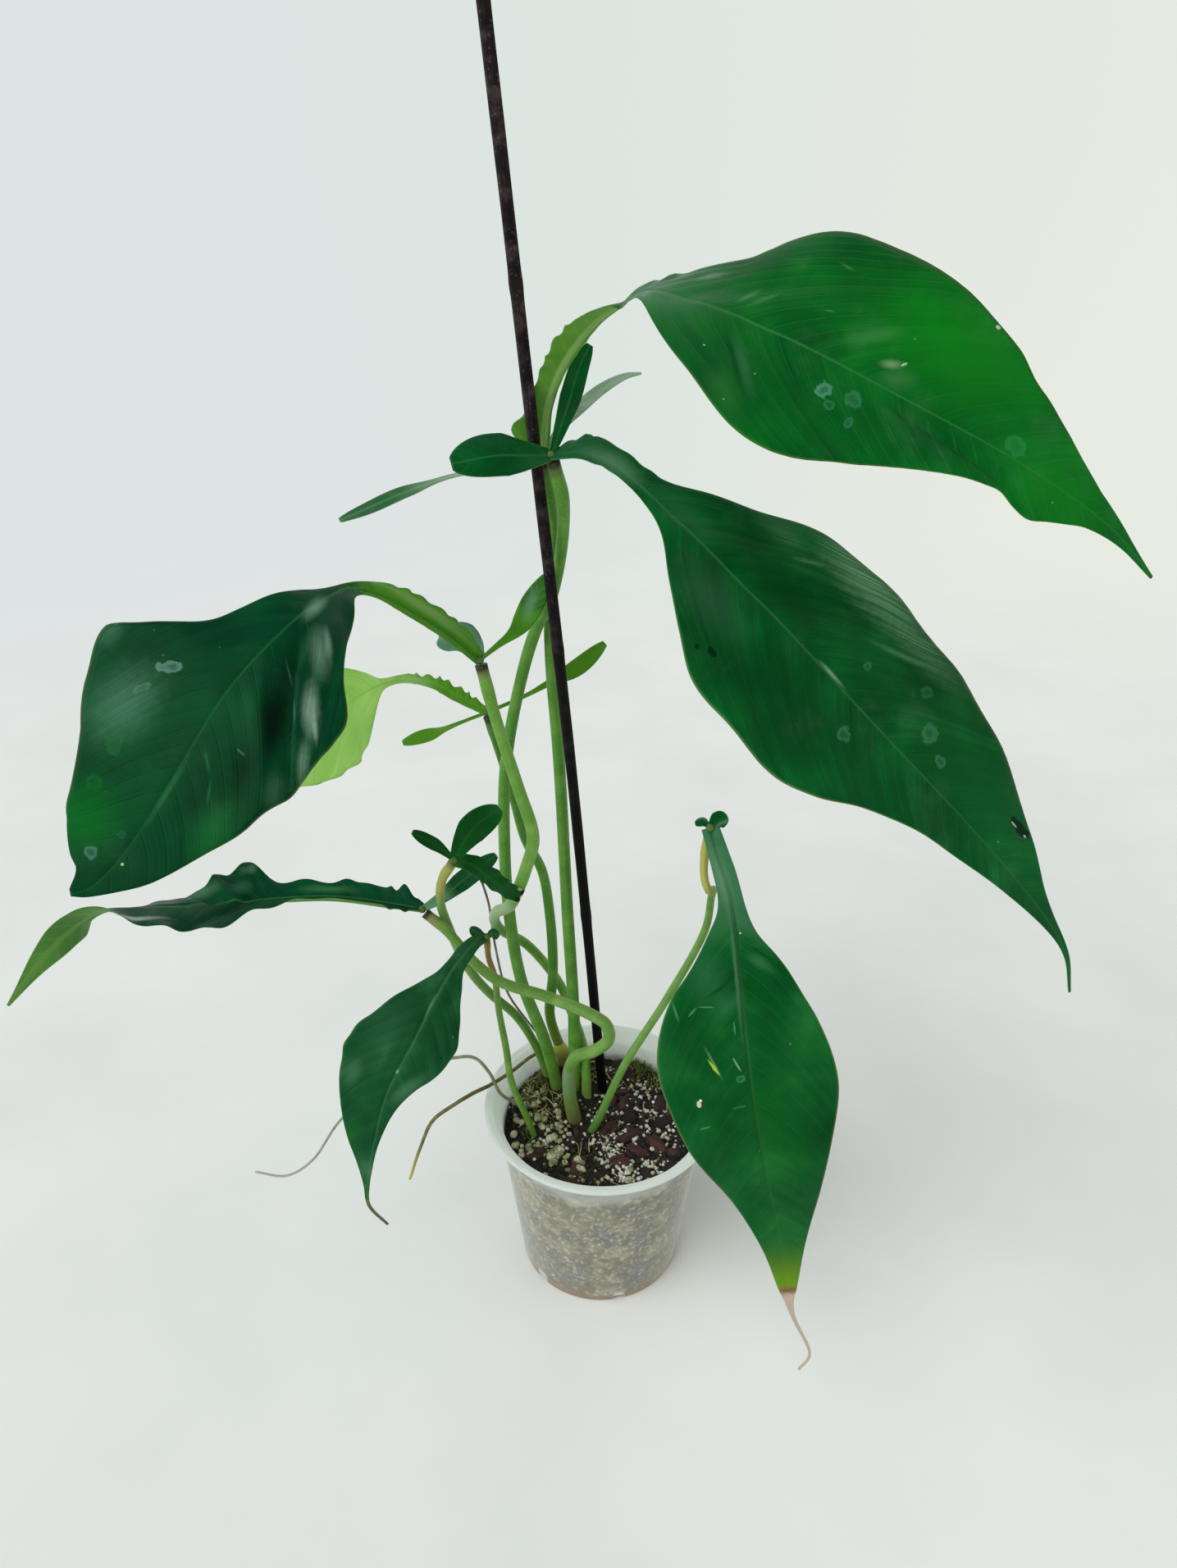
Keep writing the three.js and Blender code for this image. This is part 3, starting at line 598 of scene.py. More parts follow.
        # Dried spray leaves a thin pale film in patches, thicker along the fine veins
        film = add("TexNoise", {"Vector": flat, "Scale": 1 / self.film, "Detail": 7.0, "Roughness": 0.66})
        film = add("MapRange", (film, 0.5, 0.72, 0.0, self.film_show), **SOFT)
        trace = add("MapRange", (streak, 0.35, 0.65, self.trace_low, 1.0))
        coats.append((add("Math", (film, trace), operation="MULTIPLY"), self.dust))
        ragged = add("TexNoise", {"Vector": flat, "Scale": 1 / self.ragged, "Detail": 3.0})
        # The marks lay tone, dried drops and scars, and also paint sheen, highlights, glints and shade in
        # folds into the colour
        for mark in (Mark(*row) for row in self.marks):
            coats.append((mark.mask(add, flat, ragged, trace), mark.colour))
        for cover, tint in coats:
            colour = add("Mix", (cover, colour, tint), **TINT)

        # The cuticle is smooth wax that thins over the veins, so the gloss breaks up along them
        gloss = add("MapRange", (band, 0.35, 0.7, self.roughness - 0.06, self.roughness + 0.12))
        height = add("Math", (first, -0.8, streak), operation="MULTIPLY_ADD")
        height = add("Math", (fine, -0.5, height), operation="MULTIPLY_ADD")
        bump = add("Bump", {"Strength": 0.5, "Distance": self.relief * MM, "Height": height})
        skin = {"Base Color": colour, "Roughness": gloss, "Normal": bump, "IOR": TISSUE_IOR}
        wax = {"Specular IOR Level": self.specular, "Specular Tint": self.sheen}
        surface = add("BsdfPrincipled", {**skin, **wax})
        glow = add("BsdfTranslucent", {"Color": self.backlight_tint, "Normal": bump})
        add("OutputMaterial", {"Surface": add("MixShader", (self.backlight, surface, glow))})
        return material

    def under(self) -> bpy.types.Material:
        """Builds the finish of the underside.

        Returns:
            The material.
        """
        material, add = new_material(f"{self.name}_underside")
        place = add("Attribute", attribute_name=PLACE).outputs["Vector"]
        across, along, vein = add("SeparateXYZ", (place,)).outputs
        flat = add("CombineXYZ", (across, along))
        patch = add("TexNoise", {"Vector": flat, "Scale": 1 / self.patch, "Detail": 4.0})
        grain = add("TexNoise", {"Vector": flat, "Scale": 1 / self.grain, "Detail": 2.0})
        blend = add("Mix", (0.1, patch, grain))
        tone = add("ValToRGB", {"Fac": blend}, stops=((0.36, self.under_deep), (0.64, self.under_light)))
        # Veins and midrib stand out underneath as pale ridges
        ridge = add("Math", (vein, 0.5), operation="PINGPONG")
        ridge = add("MapRange", (ridge, 0.0, 0.12, 0.14, 0.0), **SOFT)
        colour = add("Mix", (ridge, tone, self.rim), **TINT)
        keel = add("Math", (across,), operation="ABSOLUTE")
        keel = add("MapRange", (keel, 0.9, 1.8, 0.7, 0.0), **SOFT)
        colour = add("Mix", (keel, colour, self.keel), **TINT)
        bump = add("Bump", {"Strength": 0.5, "Distance": self.under_relief * MM, "Height": ridge})
        gloss = add("MapRange", (patch, 0.3, 0.7, 0.45, 0.6))
        skin = {"Base Color": colour, "Roughness": gloss, "Normal": bump, "IOR": TISSUE_IOR}
        add("OutputMaterial", {"Surface": add("BsdfPrincipled", skin)})
        return material


VEIN_SPACING = 8.5
VEIN_SLOPE = 0.7
VEIN_CURVE = 0.022


def vein_place(across: Array, along: Array) -> Array:
    """Counts side veins from the stalk, so that lines of equal count run along them.

    Args:
        across: Distance right of the midrib, in mm.
        along: Distance from the stalk, in mm.

    Returns:
        The count at each point.
    """
    out = np.abs(across)
    start = along - VEIN_SLOPE * out - VEIN_CURVE * out**2
    drift = 0.9 * np.sin(start / 13.0 + 1.3) + 0.7 * np.sin(start / 5.1 + np.sign(across) * 1.1)
    return (start + drift + np.where(across < 0, 0.35, 0) * VEIN_SPACING) / VEIN_SPACING


@dataclass(frozen=True)
class Furrow:
    """A deep fold of the blade along its side veins, between the midrib and one margin."""

    start: float
    side: int
    width: float
    depth: float


@dataclass(frozen=True)
class Crease:
    """A wrinkle of the blade between two points given by mm along and across the midrib."""

    start: Pair
    end: Pair
    width: float
    depth: float

    def sunk(self, across: Array, along: Array) -> Array:
        """Gives how deep the wrinkle is at each point, in mm.

        Args:
            across: Distance right of the midrib, in mm.
            along: Distance from the stalk, in mm.

        Returns:
            The depth.
        """
        (y0, x0), (y1, x1) = self.start, self.end
        span = math.hypot(x1 - x0, y1 - y0)
        on = ((across - x0) * (x1 - x0) + (along - y0) * (y1 - y0)) / span**2
        off = ((across - x0) * (y1 - y0) - (along - y0) * (x1 - x0)) / span
        past = np.maximum(np.maximum(-on, on - 1), 0) * span
        return self.depth * np.exp(-((off / self.width) ** 2) - (past / (2 * self.width)) ** 2)


@dataclass(frozen=True)
class Ruffle:
    """A stretch of margin that is crimped up and down, from and to mm along the midrib."""

    side: int
    start: float
    end: float
    height: float
    pitch: float
    scallop: float

    def wave(self, along: Array, across: Array) -> Array:
        """Gives the crimp at each point, -1 to 1, before its height.

        Args:
            along: Distance from the stalk, in mm.
            across: Distance right of the midrib, in mm.

        Returns:
            The crimp, zero beyond its stretch and on the other side.
        """
        ease = min(self.pitch, (self.end - self.start) / 3)
        window = np.clip((along - self.start) / ease, 0, 1) * np.clip((self.end - along) / ease, 0, 1)
        turn = 2 * np.pi * along / self.pitch
        shape = np.sin(turn + 1.1 * np.sin(turn * 0.37 + self.side)) * (0.75 + 0.25 * np.sin(turn * 0.61))
        return shape * window * (np.sign(across) == self.side)


@dataclass
class Lobe:
    """A small round-ended lobe at the base of a blade."""

    path: Table
    half: float
    face: Point
    shape: Table = ((0, 1), (1, 1))
    tones: Pair = (0.42, 0.62)
    finish: Optional[LeafFinish] = None
    rows: int = 36
    columns: int = 10
    thickness: float = 0.6
    least_half: float = 0.8
    start_share: float = 0.3
    growth: float = 1.4
    round_from: float = 0.6
    round_span: float = 0.42
    cup: float = 0.12
    wave: float = 0.35
    wave_length: float = 4.3
    vein_start: float = 60.0

    def sheet(self, draft: Draft, start: Point, slot: int) -> None:
        """Adds the lobe to its leaf.

        Args:
            draft: The leaf's draft.
            start: Where it joins the knob, in mm.
            slot: The material slot of its upper face; its underside has the next one.
        """
        spine = Spine([start, *self.path])
        share = np.linspace(0, 1, self.rows + 1) ** 0.8
        v = np.linspace(-1, 1, self.columns + 1)[None]
        past = np.maximum((share - self.round_from) / self.round_span, 0)
        full = self.half * np.minimum(1, self.start_share + self.growth * share) * eased(self.shape, share, 1)
        half = np.maximum(full * np.sqrt(np.maximum(1 - past**2, 0)), self.least_half * (1 - share**9 * 0.7))
        across = v * half[:, None]
        along = np.broadcast_to(share[:, None] * spine.length, across.shape)
        lift = self.cup * np.abs(across) * np.abs(v)
        lift = lift + self.wave * np.sin(along / self.wave_length) * v**2 * np.minimum(half / 4, 1)[:, None]
        middle = spine.sheet(share, across, lift, np.asarray(self.face, float))
        groove = np.exp(-((across / 0.8) ** 2)) * (1 - 0.7 * share[:, None])
        thin = self.thickness * (0.5 - 0.25 * np.abs(v) ** 6) + across * 0
        vein = vein_place(across * 1.6, along + self.vein_start)
        place = np.stack([across, along + self.vein_start, vein], -1)
        tone = np.interp(share, (0, 0.7), self.tones)[:, None] + across * 0
        edge = np.stack([np.abs(v) + across * 0, tone, along], -1)
        add_shell(draft, middle, thin - 0.12 * groove, thin + 0.5 * groove, place, edge, slot)


@dataclass
class Blade:
    """A leaf's sheet with its winged neck, its basal lobes and the knob where they meet.

    Its ripple is how many waves it has, how high they stand and at which share of its length they start.
    """

    name: str
    finish: LeafFinish
    ripple: tuple[float, float, float]
    rib: Table
    faces: Table
    widths: Table
    lobes: Sequence[Lobe]
    slot: str = "leaf_deep"
    fold: Table = ((0, 0, 0), (1, 0, 0))
    furrows: Sequence[Furrow] = ()
    creases: Sequence[Crease] = ()
    ruffles: Sequence[Ruffle] = ()
    quilt: float = 0.22
    rows: int = 220
    columns: int = 44
    thickness: float = 0.55
    least_half: float = 0.6
    swell_width: float = 10.0
    knob_radius: float = 1.8
    midrib_half: float = 1.1
    keel: float = 0.9
    keel_half: float = 1.1
    keel_run: Table = ((0, 1), (0.3, 0.8), (0.45, 0.6), (1, 0.3))
    # Streaks of the left half are read this far from those of the right, in mm
    left_reach: float = 900.0

    def sheet(self, draft: Draft) -> None:
        """Adds the blade's sheet.

        Args:
            draft: The leaf's draft.
        """
        spine = Spine(self.rib)
        share = np.linspace(0, 1, self.rows + 1)
        far = share[:, None]
        v = np.linspace(-1, 1, self.columns + 1)[None]
        v = np.sign(v) * np.abs(v) ** 1.35
        left = v < 0
        half, rise = (
            np.where(left, *(eased(rows, share, k)[:, None] for k in (1, 2)))
            for rows in (self.widths, self.fold)
        )
        half, rise = np.maximum(half, self.least_half), np.radians(rise)
        swell = np.maximum(np.sin(np.pi * share), 0)[:, None] * np.minimum(half / self.swell_width, 1)
        count, height, start = self.ripple
        turn = 2 * np.pi * count * (far - start) + np.where(left, 0, np.pi / 2)
        across = v * half
        along = np.broadcast_to(far * spine.length, across.shape)
        crimp = np.zeros_like(across)
        for ruffle in self.ruffles:
            wave = ruffle.wave(along, across)
            crimp = crimp + ruffle.height * wave * np.abs(v) ** 2.5
            across = across * (1 + ruffle.scallop * np.roll(wave, 1, 0) * np.abs(v) ** 2)
        vein, out = vein_place(across, along), np.abs(across)
        lift = out * np.sin(rise) + height * swell * v**2 * np.sin(turn) + crimp
        # The tissue swells between the veins and sinks in folds along them
        fade = np.clip(out / 7, 0, 1) * (1 - 0.6 * np.abs(v) ** 6) * swell
        lift = lift + self.quilt * fade * (0.5 - np.abs(np.cos(np.pi * vein)) ** 3)
        for furrow in self.furrows:
            near = np.exp(-(((vein * VEIN_SPACING - furrow.start) / furrow.width) ** 2))
            near = near * (np.sign(across) == furrow.side) * np.clip(out / 12, 0, 1) ** 1.5
            lift = lift - furrow.depth * near * (1 - 0.35 * np.abs(v) ** 4)
        for crease in self.creases:
            lift = lift - crease.sunk(across, along)
        face = np.stack([eased(self.faces, share, k) for k in (1, 2, 3)], -1)
        middle = spine.sheet(share, across * np.cos(rise), lift, face)
        groove = np.exp(-((across / self.midrib_half) ** 2)) * (1 - 0.6 * far)
        ridge = self.keel * np.interp(share, *zip(*self.keel_run))[:, None]
        ridge = ridge * np.exp(-((across / self.keel_half) ** 2))
        thin = self.thickness * (0.5 - 0.3 * np.abs(v) ** 8)
        reach = 1.3 * out + np.where(left, self.left_reach, 0)
        place = np.stack([across, along, vein], -1)
        edge = np.stack([np.abs(v) + across * 0, far + across * 0, reach], -1)
        add_shell(draft, middle, thin - 0.25 * groove, thin + ridge, place, edge)

    def knob(self, draft: Draft) -> None:
        """Adds the small uneven knob where the blade's veins gather at the stalk.

        Args:
            draft: The leaf's draft.
        """
        out, faces = ball(3)
        bumpy = 1 + 0.07 * np.sin(out[:, 0] * 5 + 1) * np.cos(out[:, 1] * 4) + 0.04 * np.sin(out[:, 2] * 11)
        place = out * self.knob_radius
        draft.add(np.asarray(self.rib[0]) + place * bumpy[:, None], (faces,), (2,), place)

    def build(self) -> None:
        """Builds and dresses the whole leaf."""
        draft = Draft()
        self.sheet(draft)
        finishes = [self.finish.upper(), self.finish.under(), KNOB.build()]
        self.knob(draft)
        for lobe in self.lobes:
            first = 0
            if lobe.finish:
                first = len(finishes)
                finishes += [lobe.finish.upper(), lobe.finish.under()]
            lobe.sheet(draft, self.rib[0], first)
        settle(draft.piece(f"{self.name}_blade", finishes), self.slot, f"leaf_{self.name}")


# Stems


@dataclass(frozen=True)
class StemFinish:
    """Living or dried stem skin, grown in fibres that run along it."""

    name: str
    shade: str
    body: str
    light: str
    start: str
    end: str
    start_share: float = 0.02
    end_share: float = 0.98
    ring_show: float = 0.0
    zones: Sequence[tuple[float, float, str]] = ()
    roughness: float = 0.42
    specular: float = 0.4
    pore: str = "#c9d6a0"
    pore_show: float = 0.12
    fibre_show: float = 0.3
    cork: str = "#1f1812"

    # Sizes of the pattern, in mm
    fibre: float = 0.9
    run: float = 16.0
    blotch: float = 9.0
    relief: float = 0.12
    pores_per_mm: float = 0.55

    def build(self) -> bpy.types.Material:
        """Builds the finish.

        Returns:
            The material.
        """
        material, add = new_material(self.name)
        place, edge = (add("Attribute", attribute_name=label).outputs["Vector"] for label in (PLACE, EDGE))
        share = add("SeparateXYZ", (edge,))
        along = add("SeparateXYZ", (place,)).outputs["Z"]
        drawn = (1 / self.fibre, 1 / self.fibre, 1 / self.run)
        lane = add("VectorMath", (place, drawn), operation="MULTIPLY")
        # Fibres run the length of the stem and show as fine pale lines
        fibre = add("TexNoise", {"Vector": lane, "Scale": 1.0, "Detail": 4.0, "Roughness": 0.6})
        blotch = add("TexNoise", {"Vector": place, "Scale": 1 / self.blotch, "Detail": 3.0})
        blend = add("Mix", (self.fibre_show, blotch, fibre))
        stops = ((0.34, self.shade), (0.5, self.body), (0.68, self.light))
        colour = add("ValToRGB", {"Fac": blend}, stops=stops)
        # Small pale pores are strewn over the skin
        pore = add("TexVoronoi", {"Vector": place, "Scale": self.pores_per_mm})
        pore = add("MapRange", (pore, 0.12, 0.3, self.pore_show, 0.0), **SOFT)
        first = add("MapRange", (share, self.start_share * 0.6, self.start_share, 1.0, 0.0))
        last = add("MapRange", (share, self.end_share, 1.0))
        coats = [(pore, self.pore), (first, self.start), (last, self.end)]
        for begin, finish, tint in self.zones:
            middle, reach = (begin + finish) / 2, (finish - begin) / 2
            zone = add("Math", (share, middle), operation="SUBTRACT")
            zone = add("Math", (zone,), operation="ABSOLUTE")
            coats.append((add("MapRange", (zone, reach * 0.5, reach, 0.9, 0.0)), tint))
        # Corky tissue closes the joint under the blade in a thin dark ring
        coats.append((add("MapRange", (along, 1.5, 3.5, self.ring_show, 0.0)), self.cork))
        for cover, tint in coats:
            colour = add("Mix", (cover, colour, tint), **TINT)
        gloss = add("MapRange", (fibre, 0.3, 0.7, self.roughness - 0.08, self.roughness + 0.1))
        bump = add("Bump", {"Strength": 0.6, "Distance": self.relief * MM, "Height": fibre})
        skin = {"Base Color": colour, "Roughness": gloss, "Normal": bump, "IOR": TISSUE_IOR}
        surface = add("BsdfPrincipled", {**skin, "Specular IOR Level": self.specular})
        add("OutputMaterial", {"Surface": surface})
        return material


@dataclass
class Stem:
    """A round stem or root along a smooth path, with knots given by share, height and spread."""

    name: str
    node: str
    slot: str
    finish: StemFinish
    path: Table
    radii: Table
    rings: int = 120
    sides: int = 20
    ribs: int = 9
    rib_depth: float = 0.025
    knots: Table = ()
    wander: float = 0.004
    seed: float = 0.0

    def build(self) -> None:
        """Builds and dresses the stem."""
        share = np.linspace(0, 1, self.rings + 1)
        radius = eased(self.radii, share, 1)
        for at, height, span in self.knots:
            radius = radius + height * np.exp(-(((share - at) / span) ** 2))
        radius = radius * (1 + self.wander * np.sin(share * self.rings / 4.1 + self.seed))
        turn = circle(self.sides)
        ribbed = 1 + self.rib_depth * np.cos(self.ribs * turn)[None] * (1 + 0.5 * np.sin(share * 31)[:, None])
        draft = Draft()
        add_rod(draft, Spine(self.path), radius[:, None] * ribbed, self.sides)
        settle(draft.piece(self.name, [self.finish.build()]), self.slot, self.node)


@dataclass
class Stalk:
    """A leaf's stalk, from just under the knob of its blade down into the mix."""

    name: str
    finish: StemFinish
    path: Table
    radii: Table
    seat: float = 2.2
    rings: int = 160
    knots: Table = ((0.0, 0.25, 0.012), (0.035, 0.3, 0.02))

    def build(self, knob: Point) -> None:
        """Builds and dresses the stalk.

        Args:
            knob: The middle of the knob above it, in mm.
        """
        top = np.asarray(knob, float) + unit(np.asarray(self.path[0]) - np.asarray(knob, float)) * self.seat
        names = f"{self.name}_petiole", f"stalk_{self.name}", "stalk"
        path, seed = (tuple(top), *self.path[1:]), float(len(self.name))
        Stem(*names, self.finish, path, self.radii, self.rings, knots=self.knots, seed=seed).build()


# Pot


@dataclass(frozen=True)
class FrostedPlastic:
    """Natural polypropylene, blow moulded against a finely matted mould, with wet mix behind it."""

    name: str = "frosted_polypropylene"
    clear: str = "#eef1ea"
    backed: str = "#84826f"
    grey: str = "#7c7c7c"
    light: str = "#9b9885"
    dark: str = "#676550"
    speck: str = "#cbc8b6"
    stain: str = "#8a6a50"
    lip: str = "#f4f8f5"
    sheen: float = 0.8
    ior: float = 1.49
    # Heights and sizes of the pattern, in mm
    backed_top: float = 82.0
    stain_top: float = 6.0
    lip_start: float = 92.5
    lip_full: float = 95.5
    waver: float = 9.5
    blur: float = 13.0
    crumb: float = 4.0
    speck_size: float = 1.9
    haze: float = 2.6
    relief: float = 0.08
    scatter: float = 1.4

    def build(self) -> bpy.types.Material:
        """Builds the finish.

        Returns:
            The material.
        """
        material, add = new_material(self.name)
        place = add("Attribute", attribute_name=PLACE).outputs["Vector"]
        height = add("SeparateXYZ", (place,)).outputs["Z"]
        # The mix touches the wall here and there, and frosting blurs it into soft patches
        noises = (self.blur, 2.0), (self.crumb, 2.0), (self.speck_size, 1.0), (self.haze, 3.0)
        blur, crumb, grain, haze = (
            add("TexNoise", {"Vector": place, "Scale": 1 / size, "Detail": fine}) for size, fine in noises
        )
        stops = ((0.36, self.grey), (0.5, self.backed), (0.64, self.light))
        colour = add("ValToRGB", {"Fac": blur}, stops=stops)
        near = add("MapRange", (crumb, 0.42, 0.68, 0.0, 0.5), **SOFT)
        # Small white grains pressed on the inside show through as soft pale dots
        dot = add("MapRange", (grain, 0.46, 0.76, 0.0, 1.0), **SOFT)
        group = add("MapRange", (crumb, 0.36, 0.62, 0.7, 0.12), **SOFT)
        dot = add("Math", (dot, group), operation="MULTIPLY")
        dim = add("MapRange", (grain, 0.28, 0.45, 0.25, 0.0), **SOFT)
        # The mix ends in an uneven line near the lip, and fine peat settles at the foot and stains it brown
        edge = add("Math", (haze, 9.0, height), operation="MULTIPLY_ADD")
        edge = add("Math", (blur, 10.0, edge), operation="MULTIPLY_ADD")
        top, foot = self.backed_top + self.waver, self.stain_top + self.waver
        above = add("MapRange", (edge, top - 4, top + 12, 0.0, 0.8), **SOFT)
        low = add("MapRange", (edge, foot - 4, foot + 4, 0.7, 0.0), **SOFT)
        rim = add("MapRange", (height, self.lip_start, self.lip_full))
        covers = near, dot, dim, above, low, rim
        for cover, tint in zip(covers, (self.dark, self.speck, self.dark, self.clear, self.stain, self.lip)):
            colour = add("Mix", (cover, colour, tint), **TINT)
        # Handling leaves faint scuffs that run round the wall
        scuff = add("VectorMath", (place, (0.05, 0.05, 1.4)), operation="MULTIPLY")
        scuff = add("TexNoise", {"Vector": scuff, "Scale": 1.0, "Detail": 4.0})
        gloss = add("MapRange", (scuff, 0.35, 0.7, 0.36, 0.5))
        rough = add("Math", (haze, 0.5, scuff), operation="MULTIPLY_ADD")
        bump = add("Bump", {"Strength": 0.3, "Distance": self.relief * MM, "Height": rough})
        wall = {"Base Color": colour, "Roughness": gloss, "Normal": bump, "IOR": self.ior}
        matt = {"Sheen Weight": self.sheen, "Sheen Roughness": 0.3, "Subsurface Weight": 0.25}
        depth = {"Subsurface Radius": (1.0, 1.0, 0.9), "Subsurface Scale": self.scatter * MM}
        surface = add("BsdfPrincipled", {**wall, **matt, **depth})
        # Light passes through the thin wall above the mix
        through = add("MapRange", (height, self.backed_top, self.backed_top + 6, 0.0, 0.6))
        glow = add("BsdfTranslucent", {"Color": self.lip, "Normal": bump})
        add("OutputMaterial", {"Surface": add("MixShader", (through, surface, glow))})
        return material


@dataclass
class Pot:
    """The round nursery pot with its rolled lip and drain notches."""

    height: float = 100.0
    rim_radius: float = 60.0
    lip_width: float = 5.6
    lip_height: float = 3.4
    neck_radius: float = 53.0
    foot_radius: float = 42.0
    foot_round: float = 1.2
    wall: float = 1.2
    floor: float = 1.6
    collar_width: float = 1.6
    collar_height: float = 2.5
    edge_round: float = 0.8
    lip_round: float = 1.28
    notches: int = 6
    notch_width: float = 7.0
    notch_height: float = 3.2
    notch_depth: float = 2.0
    notch_turn: float = 0.22
    segments: int = 320
    arc_steps: int = 5
    wall_steps: int = 14
    finish: FrostedPlastic = FrostedPlastic()

    def inside(self, z: float) -> float:
        """Gives the inner radius at a height, in mm."""
        share = (z - self.floor) / (self.height - self.lip_height - self.collar_height - self.floor)
        return self.foot_radius + share * (self.neck_radius - self.foot_radius) - self.wall

    def profile(self) -> Array:
        """Draws half the pot's section, from the middle of its foot round to that of its floor.

        Returns:
            Radius and height of each point, in mm.
        """
        rim, neck, foot = self.rim_radius, self.neck_radius, self.foot_radius
        top, under, inner = self.height, self.height - self.lip_height, rim - self.lip_width
        neck_top = under - self.collar_height
        # Radius, height and rounding of each corner
        corners = [
            (0.0, 0.4, 0.0),
            (foot - 4, 0.4, 0.4),
            (foot - 3, 0.0, 0.4),
            (foot, 0.0, self.foot_round),
            (neck, neck_top, 1.0),
            (neck + self.collar_width, under + 0.4, 0.8),
            (rim, under + 0.9, self.lip_round),
            (rim, top, self.lip_round),
            (rim - 1.9, top, 0.5),
            (rim - 2.3, top - 0.5, 0.4),
            (inner + 1.2, top - 0.5, 0.4),
            (inner, top - 2.2, 1.0),
            (neck - self.wall, neck_top, 1.0),
            (foot - self.wall, self.floor, self.edge_round),
            (0.0, self.floor, 0.0),
        ]
        points = [np.asarray(corners[0][:2])]
        for before, corner, after in zip(corners, corners[1:], corners[2:]):
            b, c, a = (np.asarray(p[:2]) for p in (before, corner, after))
            back, on = b - c, a - c
            cut = min(corner[2], 0.45 * np.linalg.norm(back), 0.45 * np.linalg.norm(on))
            start, end = c + unit(back) * cut, c + unit(on) * cut
            t = np.linspace(0, 1, self.arc_steps + 1)[:, None]
            points += list((1 - t) ** 2 * start + 2 * t * (1 - t) * c + t**2 * end)
        points.append(np.asarray(corners[-1][:2]))
        whole = [points[0]]
        for before, after in zip(points, points[1:]):
            steps = max(1, int(np.linalg.norm(after - before) / (self.height / self.wall_steps)))
            whole += [before + (after - before) * k / steps for k in range(1, steps + 1)]
        return np.asarray(whole)

    def arch(self, angle: Array) -> Array:
        """Gives the height of the drain notches round the foot.

        Args:
            angle: Angles round the pot, in radians.

        Returns:
            Height of the notch's top at each angle, in mm, zero between notches.
        """
        pitch = 2 * np.pi / self.notches
        off = (angle - self.notch_turn + np.pi / 2 + pitch / 2) % pitch - pitch / 2
        share = np.abs(off) * self.foot_radius / (self.notch_width / 2)
        return self.notch_height * np.maximum(1 - share**4, 0) ** 0.25

    def build(self) -> None:
        """Builds and dresses the pot."""
        profile = self.profile()
        angle = circle(self.segments)
        radius, z = profile[1:-1, :1], profile[1:-1, 1:]
        outer = np.arange(len(profile) - 2)[:, None] < np.argmax(profile[:, 1] >= self.height)
        near = np.clip(radius - self.foot_radius + self.notch_depth + 1, 0, 1)
        raised = np.maximum(z, self.arch(angle)[None] * near)
        z = np.where(outer & (z < self.notch_height), raised, z + angle[None] * 0)
        ring = np.stack([radius * np.cos(angle), radius * np.sin(angle), z], -1)
        points = np.vstack([ring.reshape(-1, 3), [(0, 0, profile[0, 1]), (0, 0, profile[-1, 1])]])
        draft = Draft()
        draft.add(points, tube_faces(len(profile) - 2, self.segments), place=points)
        settle(draft.piece("nursery_pot", [self.finish.build()]), "pot", "pot")


# Potting mix


@dataclass(frozen=True)
class GrainFinish:
    """A loose grain of the mix, dull and broken, with no worked face."""

    name: str
    dark: str
    body: str
    light: str
    size: float
    relief: float = 0.3
    roughness: float = 0.85
    stretch: Point = (1, 1, 1)
    ior: float = 1.5

    def build(self) -> bpy.types.Material:
        """Builds the finish.

        Returns:
            The material.
        """
        material, add = new_material(self.name)
        place, edge = (add("Attribute", attribute_name=label).outputs["Vector"] for label in (PLACE, EDGE))
        lane = add("VectorMath", (place, self.stretch), operation="MULTIPLY")
        tone = add("TexNoise", {"Vector": lane, "Scale": 1 / self.size, "Detail": 5.0, "Roughness": 0.62})
        fine = add("TexNoise", {"Vector": lane, "Scale": 6 / self.size, "Detail": 3.0})
        blend = add("Mix", (0.3, tone, fine))
        # Each grain has its own shade
        own = add("SeparateXYZ", (edge,)).outputs["X"]
        blend = add("Math", (own, 0.24, blend), operation="MULTIPLY_ADD")
        stops = ((0.46, self.dark), (0.62, self.body), (0.76, self.light))
        colour = add("ValToRGB", {"Fac": blend}, stops=stops)
        gloss = add("MapRange", (fine, 0.3, 0.7, self.roughness - 0.12, self.roughness + 0.1))
        bump = add("Bump", {"Strength": 0.8, "Distance": self.relief * MM, "Height": blend})
        skin = {"Base Color": colour, "Roughness": gloss, "Normal": bump, "IOR": self.ior}
        add("OutputMaterial", {"Surface": add("BsdfPrincipled", skin)})
        return material


@dataclass(frozen=True)
class Grain:
    """One kind of grain: where it gathers, its least and most half size in mm, and how it lies.

    Square is one for a round grain and less for a boxy one, sunk the share of its half height in the mix.
    """

    name: str
    finish: GrainFinish
    patches: Table
    sizes: Pair
    shape: Point
    square: float
    sunk: float
    splits: int


